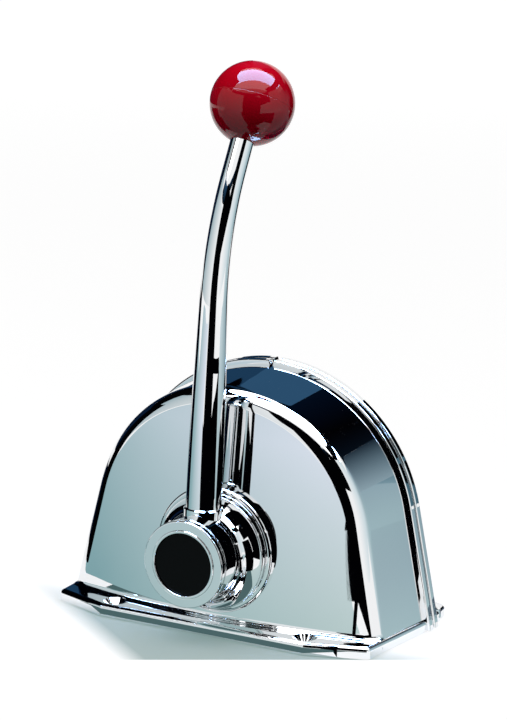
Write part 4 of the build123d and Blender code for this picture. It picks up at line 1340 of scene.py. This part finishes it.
def arc(azimuths, elevations, ends=None, distance=1.3):
    """Part of a globe round the housing. Azimuth 0 is the front, 90 the right."""
    ends = ends or elevations

    def point(u, v):
        a = math.radians(azimuths[0] + (azimuths[1] - azimuths[0]) * u)
        low, high = (start + (end - start) * u for start, end in zip(elevations, ends))
        e = math.radians(low + (high - low) * v)
        return Vector(
            (
                distance * math.sin(a) * math.cos(e),
                -0.04 - distance * math.cos(a) * math.cos(e),
                0.12 + distance * math.sin(e),
            )
        )

    return point


print("a card at azimuth 90 stands at", [round(c, 2) for c in arc((90, 90), (0, 0))(0, 0)])


# %% A card
def card(name, shape, *colours, fine=8):
    """A glowing card that only reflections see, in one colour or blending between four."""
    points = [shape(u / fine, v / fine) for v in range(fine + 1) for u in range(fine + 1)]
    row = fine + 1
    faces = [
        (v * row + u, v * row + u + 1, (v + 1) * row + u + 1, (v + 1) * row + u)
        for v in range(fine)
        for u in range(fine)
    ]
    mesh = bpy.data.meshes.new(name)
    mesh.from_pydata(points, [], faces)
    across = mesh.uv_layers.new(name="across")
    for loop in mesh.loops:
        v, u = divmod(loop.vertex_index, row)
        across.data[loop.index].uv = (u / fine, v / fine)
    material, mat = new_recipe(name)
    shade = (*colours[0], 1.0)
    if len(colours) == 4:
        where = mat.add("ShaderNodeTexCoord", None, output=2)
        u, v = mat.add("ShaderNodeSeparateXYZ", None, where, output=(0, 1))
        shade = mat.mix(v, mat.mix(u, *colours[:2]), mat.mix(u, *colours[2:]))
    glow = mat.add("ShaderNodeEmission", None, shade, 1.0)
    mat.add("ShaderNodeOutputMaterial", None, glow)
    mesh.materials.append(material)
    obj = bpy.data.objects.new(name, mesh)
    obj.visible_camera = obj.visible_diffuse = obj.visible_shadow = False
    scene.collection.objects.link(obj)


print("cards can be made")

# %% Colours of the cards
BLACK, DEEP, NAVY = (0.0005, 0.0005, 0.001), (0.001, 0.004, 0.012), (0.027, 0.085, 0.170)
NEAR_LEFT, NEAR_RIGHT = (0.24, 0.42, 0.45), (0.54, 0.67, 0.66)
FAR_LEFT, FAR_RIGHT, WHITE = (0.42, 0.57, 0.61), (0.82, 0.87, 0.97), (1.0, 1.0, 1.0)
WALL_LOW, WALL_MID, WALL_TOP = (0.41, 0.56, 0.59), (0.18, 0.28, 0.35), (0.004, 0.01, 0.02)
WALL_EDGE, SIDE, SHEET = (0.07, 0.15, 0.20), (0.68, 0.79, 0.83), (0.36, 0.48, 0.52)
print("the wall's card goes from", WALL_LOW, "to", WALL_TOP)

# %% Cards on the floor
FACE_NEAR, FACE_END = (-0.13, -0.08), (0.082, -0.08)        # before the flange
FACE_FAR, FACE_FAR_END = (-0.9, -0.62), (-0.04, -1.0)
card(
    "floor_left", on_floor(FACE_NEAR, FACE_END, FACE_FAR, FACE_FAR_END),
    NEAR_LEFT, NEAR_RIGHT, FAR_LEFT, FAR_RIGHT,
)
card(
    "floor_left_wide", on_floor((-0.28, -0.06), FACE_NEAR, (-1.2, -0.32), FACE_FAR),
    NEAR_LEFT, NEAR_LEFT, FAR_LEFT, FAR_LEFT,
)
card(
    "floor_left_far", on_floor(FACE_FAR, FACE_FAR_END, (-1.6, -1.5), (-0.1, -2.2)),
    FAR_LEFT, FAR_RIGHT, FAR_LEFT, FAR_RIGHT,
)
card(
    "floor_left_dark",
    on_floor((-0.28, -0.10), (-0.28, 0.06), (-1.3, -0.28), (-1.3, 0.55)), (0.002, 0.006, 0.02),
)
card("floor_dark", on_floor((0.062, -0.2), (0.32, -0.16), FACE_FAR_END, (0.8, -0.5)), BLACK)
card("floor_dark_right", on_floor((0.32, -0.16), (0.32, 0.0), (0.8, -0.5), (1.0, 0.0)), BLACK)
card(
    "floor_right", on_floor((0.11, 0.0), (0.11, 0.6), (1.2, 0.0), (1.2, 1.2)),
    WALL_LOW, WALL_MID, SIDE, WALL_LOW,
)
card(
    "floor_back_dark",
    on_floor((0.18, 0.6), (0.42, 0.7), (0.2, 1.4), (0.75, 1.3), height=0.0016), BLACK,
)
# A dark strip on the floor just before the flange: painted shade of the floor there, seen in the
# reflection on the flange's front edge.
card(
    "floor_strip",
    on_floor((-0.1, -0.0575), (0.11, -0.0575), (-0.11, -0.08), (0.11, -0.08)), (0.08, 0.145, 0.15),
)
card(
    "floor_back",
    on_floor((0.04, 0.06), (0.13, 0.06), (0.0, 0.5), (0.32, 0.5)), (0.01, 0.02, 0.06),
)
print("cards on the floor ready")

# %% Flags and the softbox's face
card("flag_front", upright((0.022, -0.5), (0.58, -0.5), 0.0, 0.60, 0.0, 0.60), BLACK)
card("flag_front_high", upright((0.58, -0.5), (0.95, -0.22), 0.33, 0.8, 0.47, 0.95), BLACK)
card("flag_hub", upright((0.078, -0.09), (0.078, -0.05), 0.0, 0.076, 0.0, 0.076), BLACK)
hub_flag = [(x, y, 0.14) for y in (-0.125, -0.055) for x in (0.02, 0.08)]
card("flag_over_hub", flat(*hub_flag), BLACK)
card("flag_left", upright((-0.175, -0.097), (-0.29, -0.017), 0.0, 0.17, 0.0, 0.22), BLACK)
lamp_corners = ((-1.147, -0.999), (1.46, 0.43), (-1.486, -0.382), (1.121, 1.047))
card("softbox_face", on_floor(*lamp_corners, height=1.27), (10.0, 16.0, 26.0))
print("flags ready")

# %% Cards round the housing: azimuths, then elevations
card("sheet", arc((-81, 8), (-1, 34)), SHEET, WHITE, SHEET, WHITE)
card("band", arc((-40, 60), (35, 41.5)), BLACK, BLACK, NAVY, DEEP)
card("left_high", arc((-152, -78), (18, 62)), BLACK)
card("left_mid", arc((-78, -62), (29, 62)), BLACK)
card("left_higher", arc((-62, -42), (38, 62)), BLACK)
card("left_low", arc((-140, -81), (-1, 18)), (0.003, 0.01, 0.03))
card("right_side", arc((66, 112), (-1, 40)), WHITE, SIDE, WHITE, SIDE)
card("right_turn", arc((112, 136), (-8, 30)), SIDE, WALL_LOW, SIDE, WALL_MID)
card(
    "wall_low_a", arc((136, 142), (-8, 10)),
    (0.41, 0.57, 0.61), (0.36, 0.50, 0.54), (0.35, 0.48, 0.52), (0.30, 0.42, 0.48),
)
card(
    "wall_low_b", arc((142, 144.5), (-8, 10)),
    (0.26, 0.40, 0.46), WALL_EDGE, (0.20, 0.32, 0.38), WALL_EDGE,
)
card("wall_low_c", arc((144.5, 149), (-8, 10)), WALL_EDGE)
card(
    "wall_mid", arc((136, 152), (10, 25)),
    (0.40, 0.52, 0.58), (0.06, 0.14, 0.19), (0.12, 0.18, 0.24), WALL_TOP,
)
card("beads", arc((152, 172), (-8, 25), (-8, 29)), BLACK)
card("beads_low", arc((149, 152), (-8, 10)), BLACK)
card("back_low", arc((136, 160), (25, 40)), WALL_TOP, BLACK, BLACK, BLACK)
card("back_high", arc((160, 184), (31, 64)), BLACK, DEEP, BLACK, DEEP)
card("back_left", arc((184, 200), (33, 64), (27.5, 64)), NAVY)
card("back_corner", arc((200, 208), (27.5, 64), (17, 64)), NAVY)
card("back_far", arc((208, 226), (-1, 64)), (0.012, 0.045, 0.10))
card("right_high", arc((76, 160), (40, 50)), BLACK)

# %% [markdown]
# ## Finish
# The standard view transform shows a colour about as it is written.

# %% Finish
scene.view_settings.view_transform = "Standard"
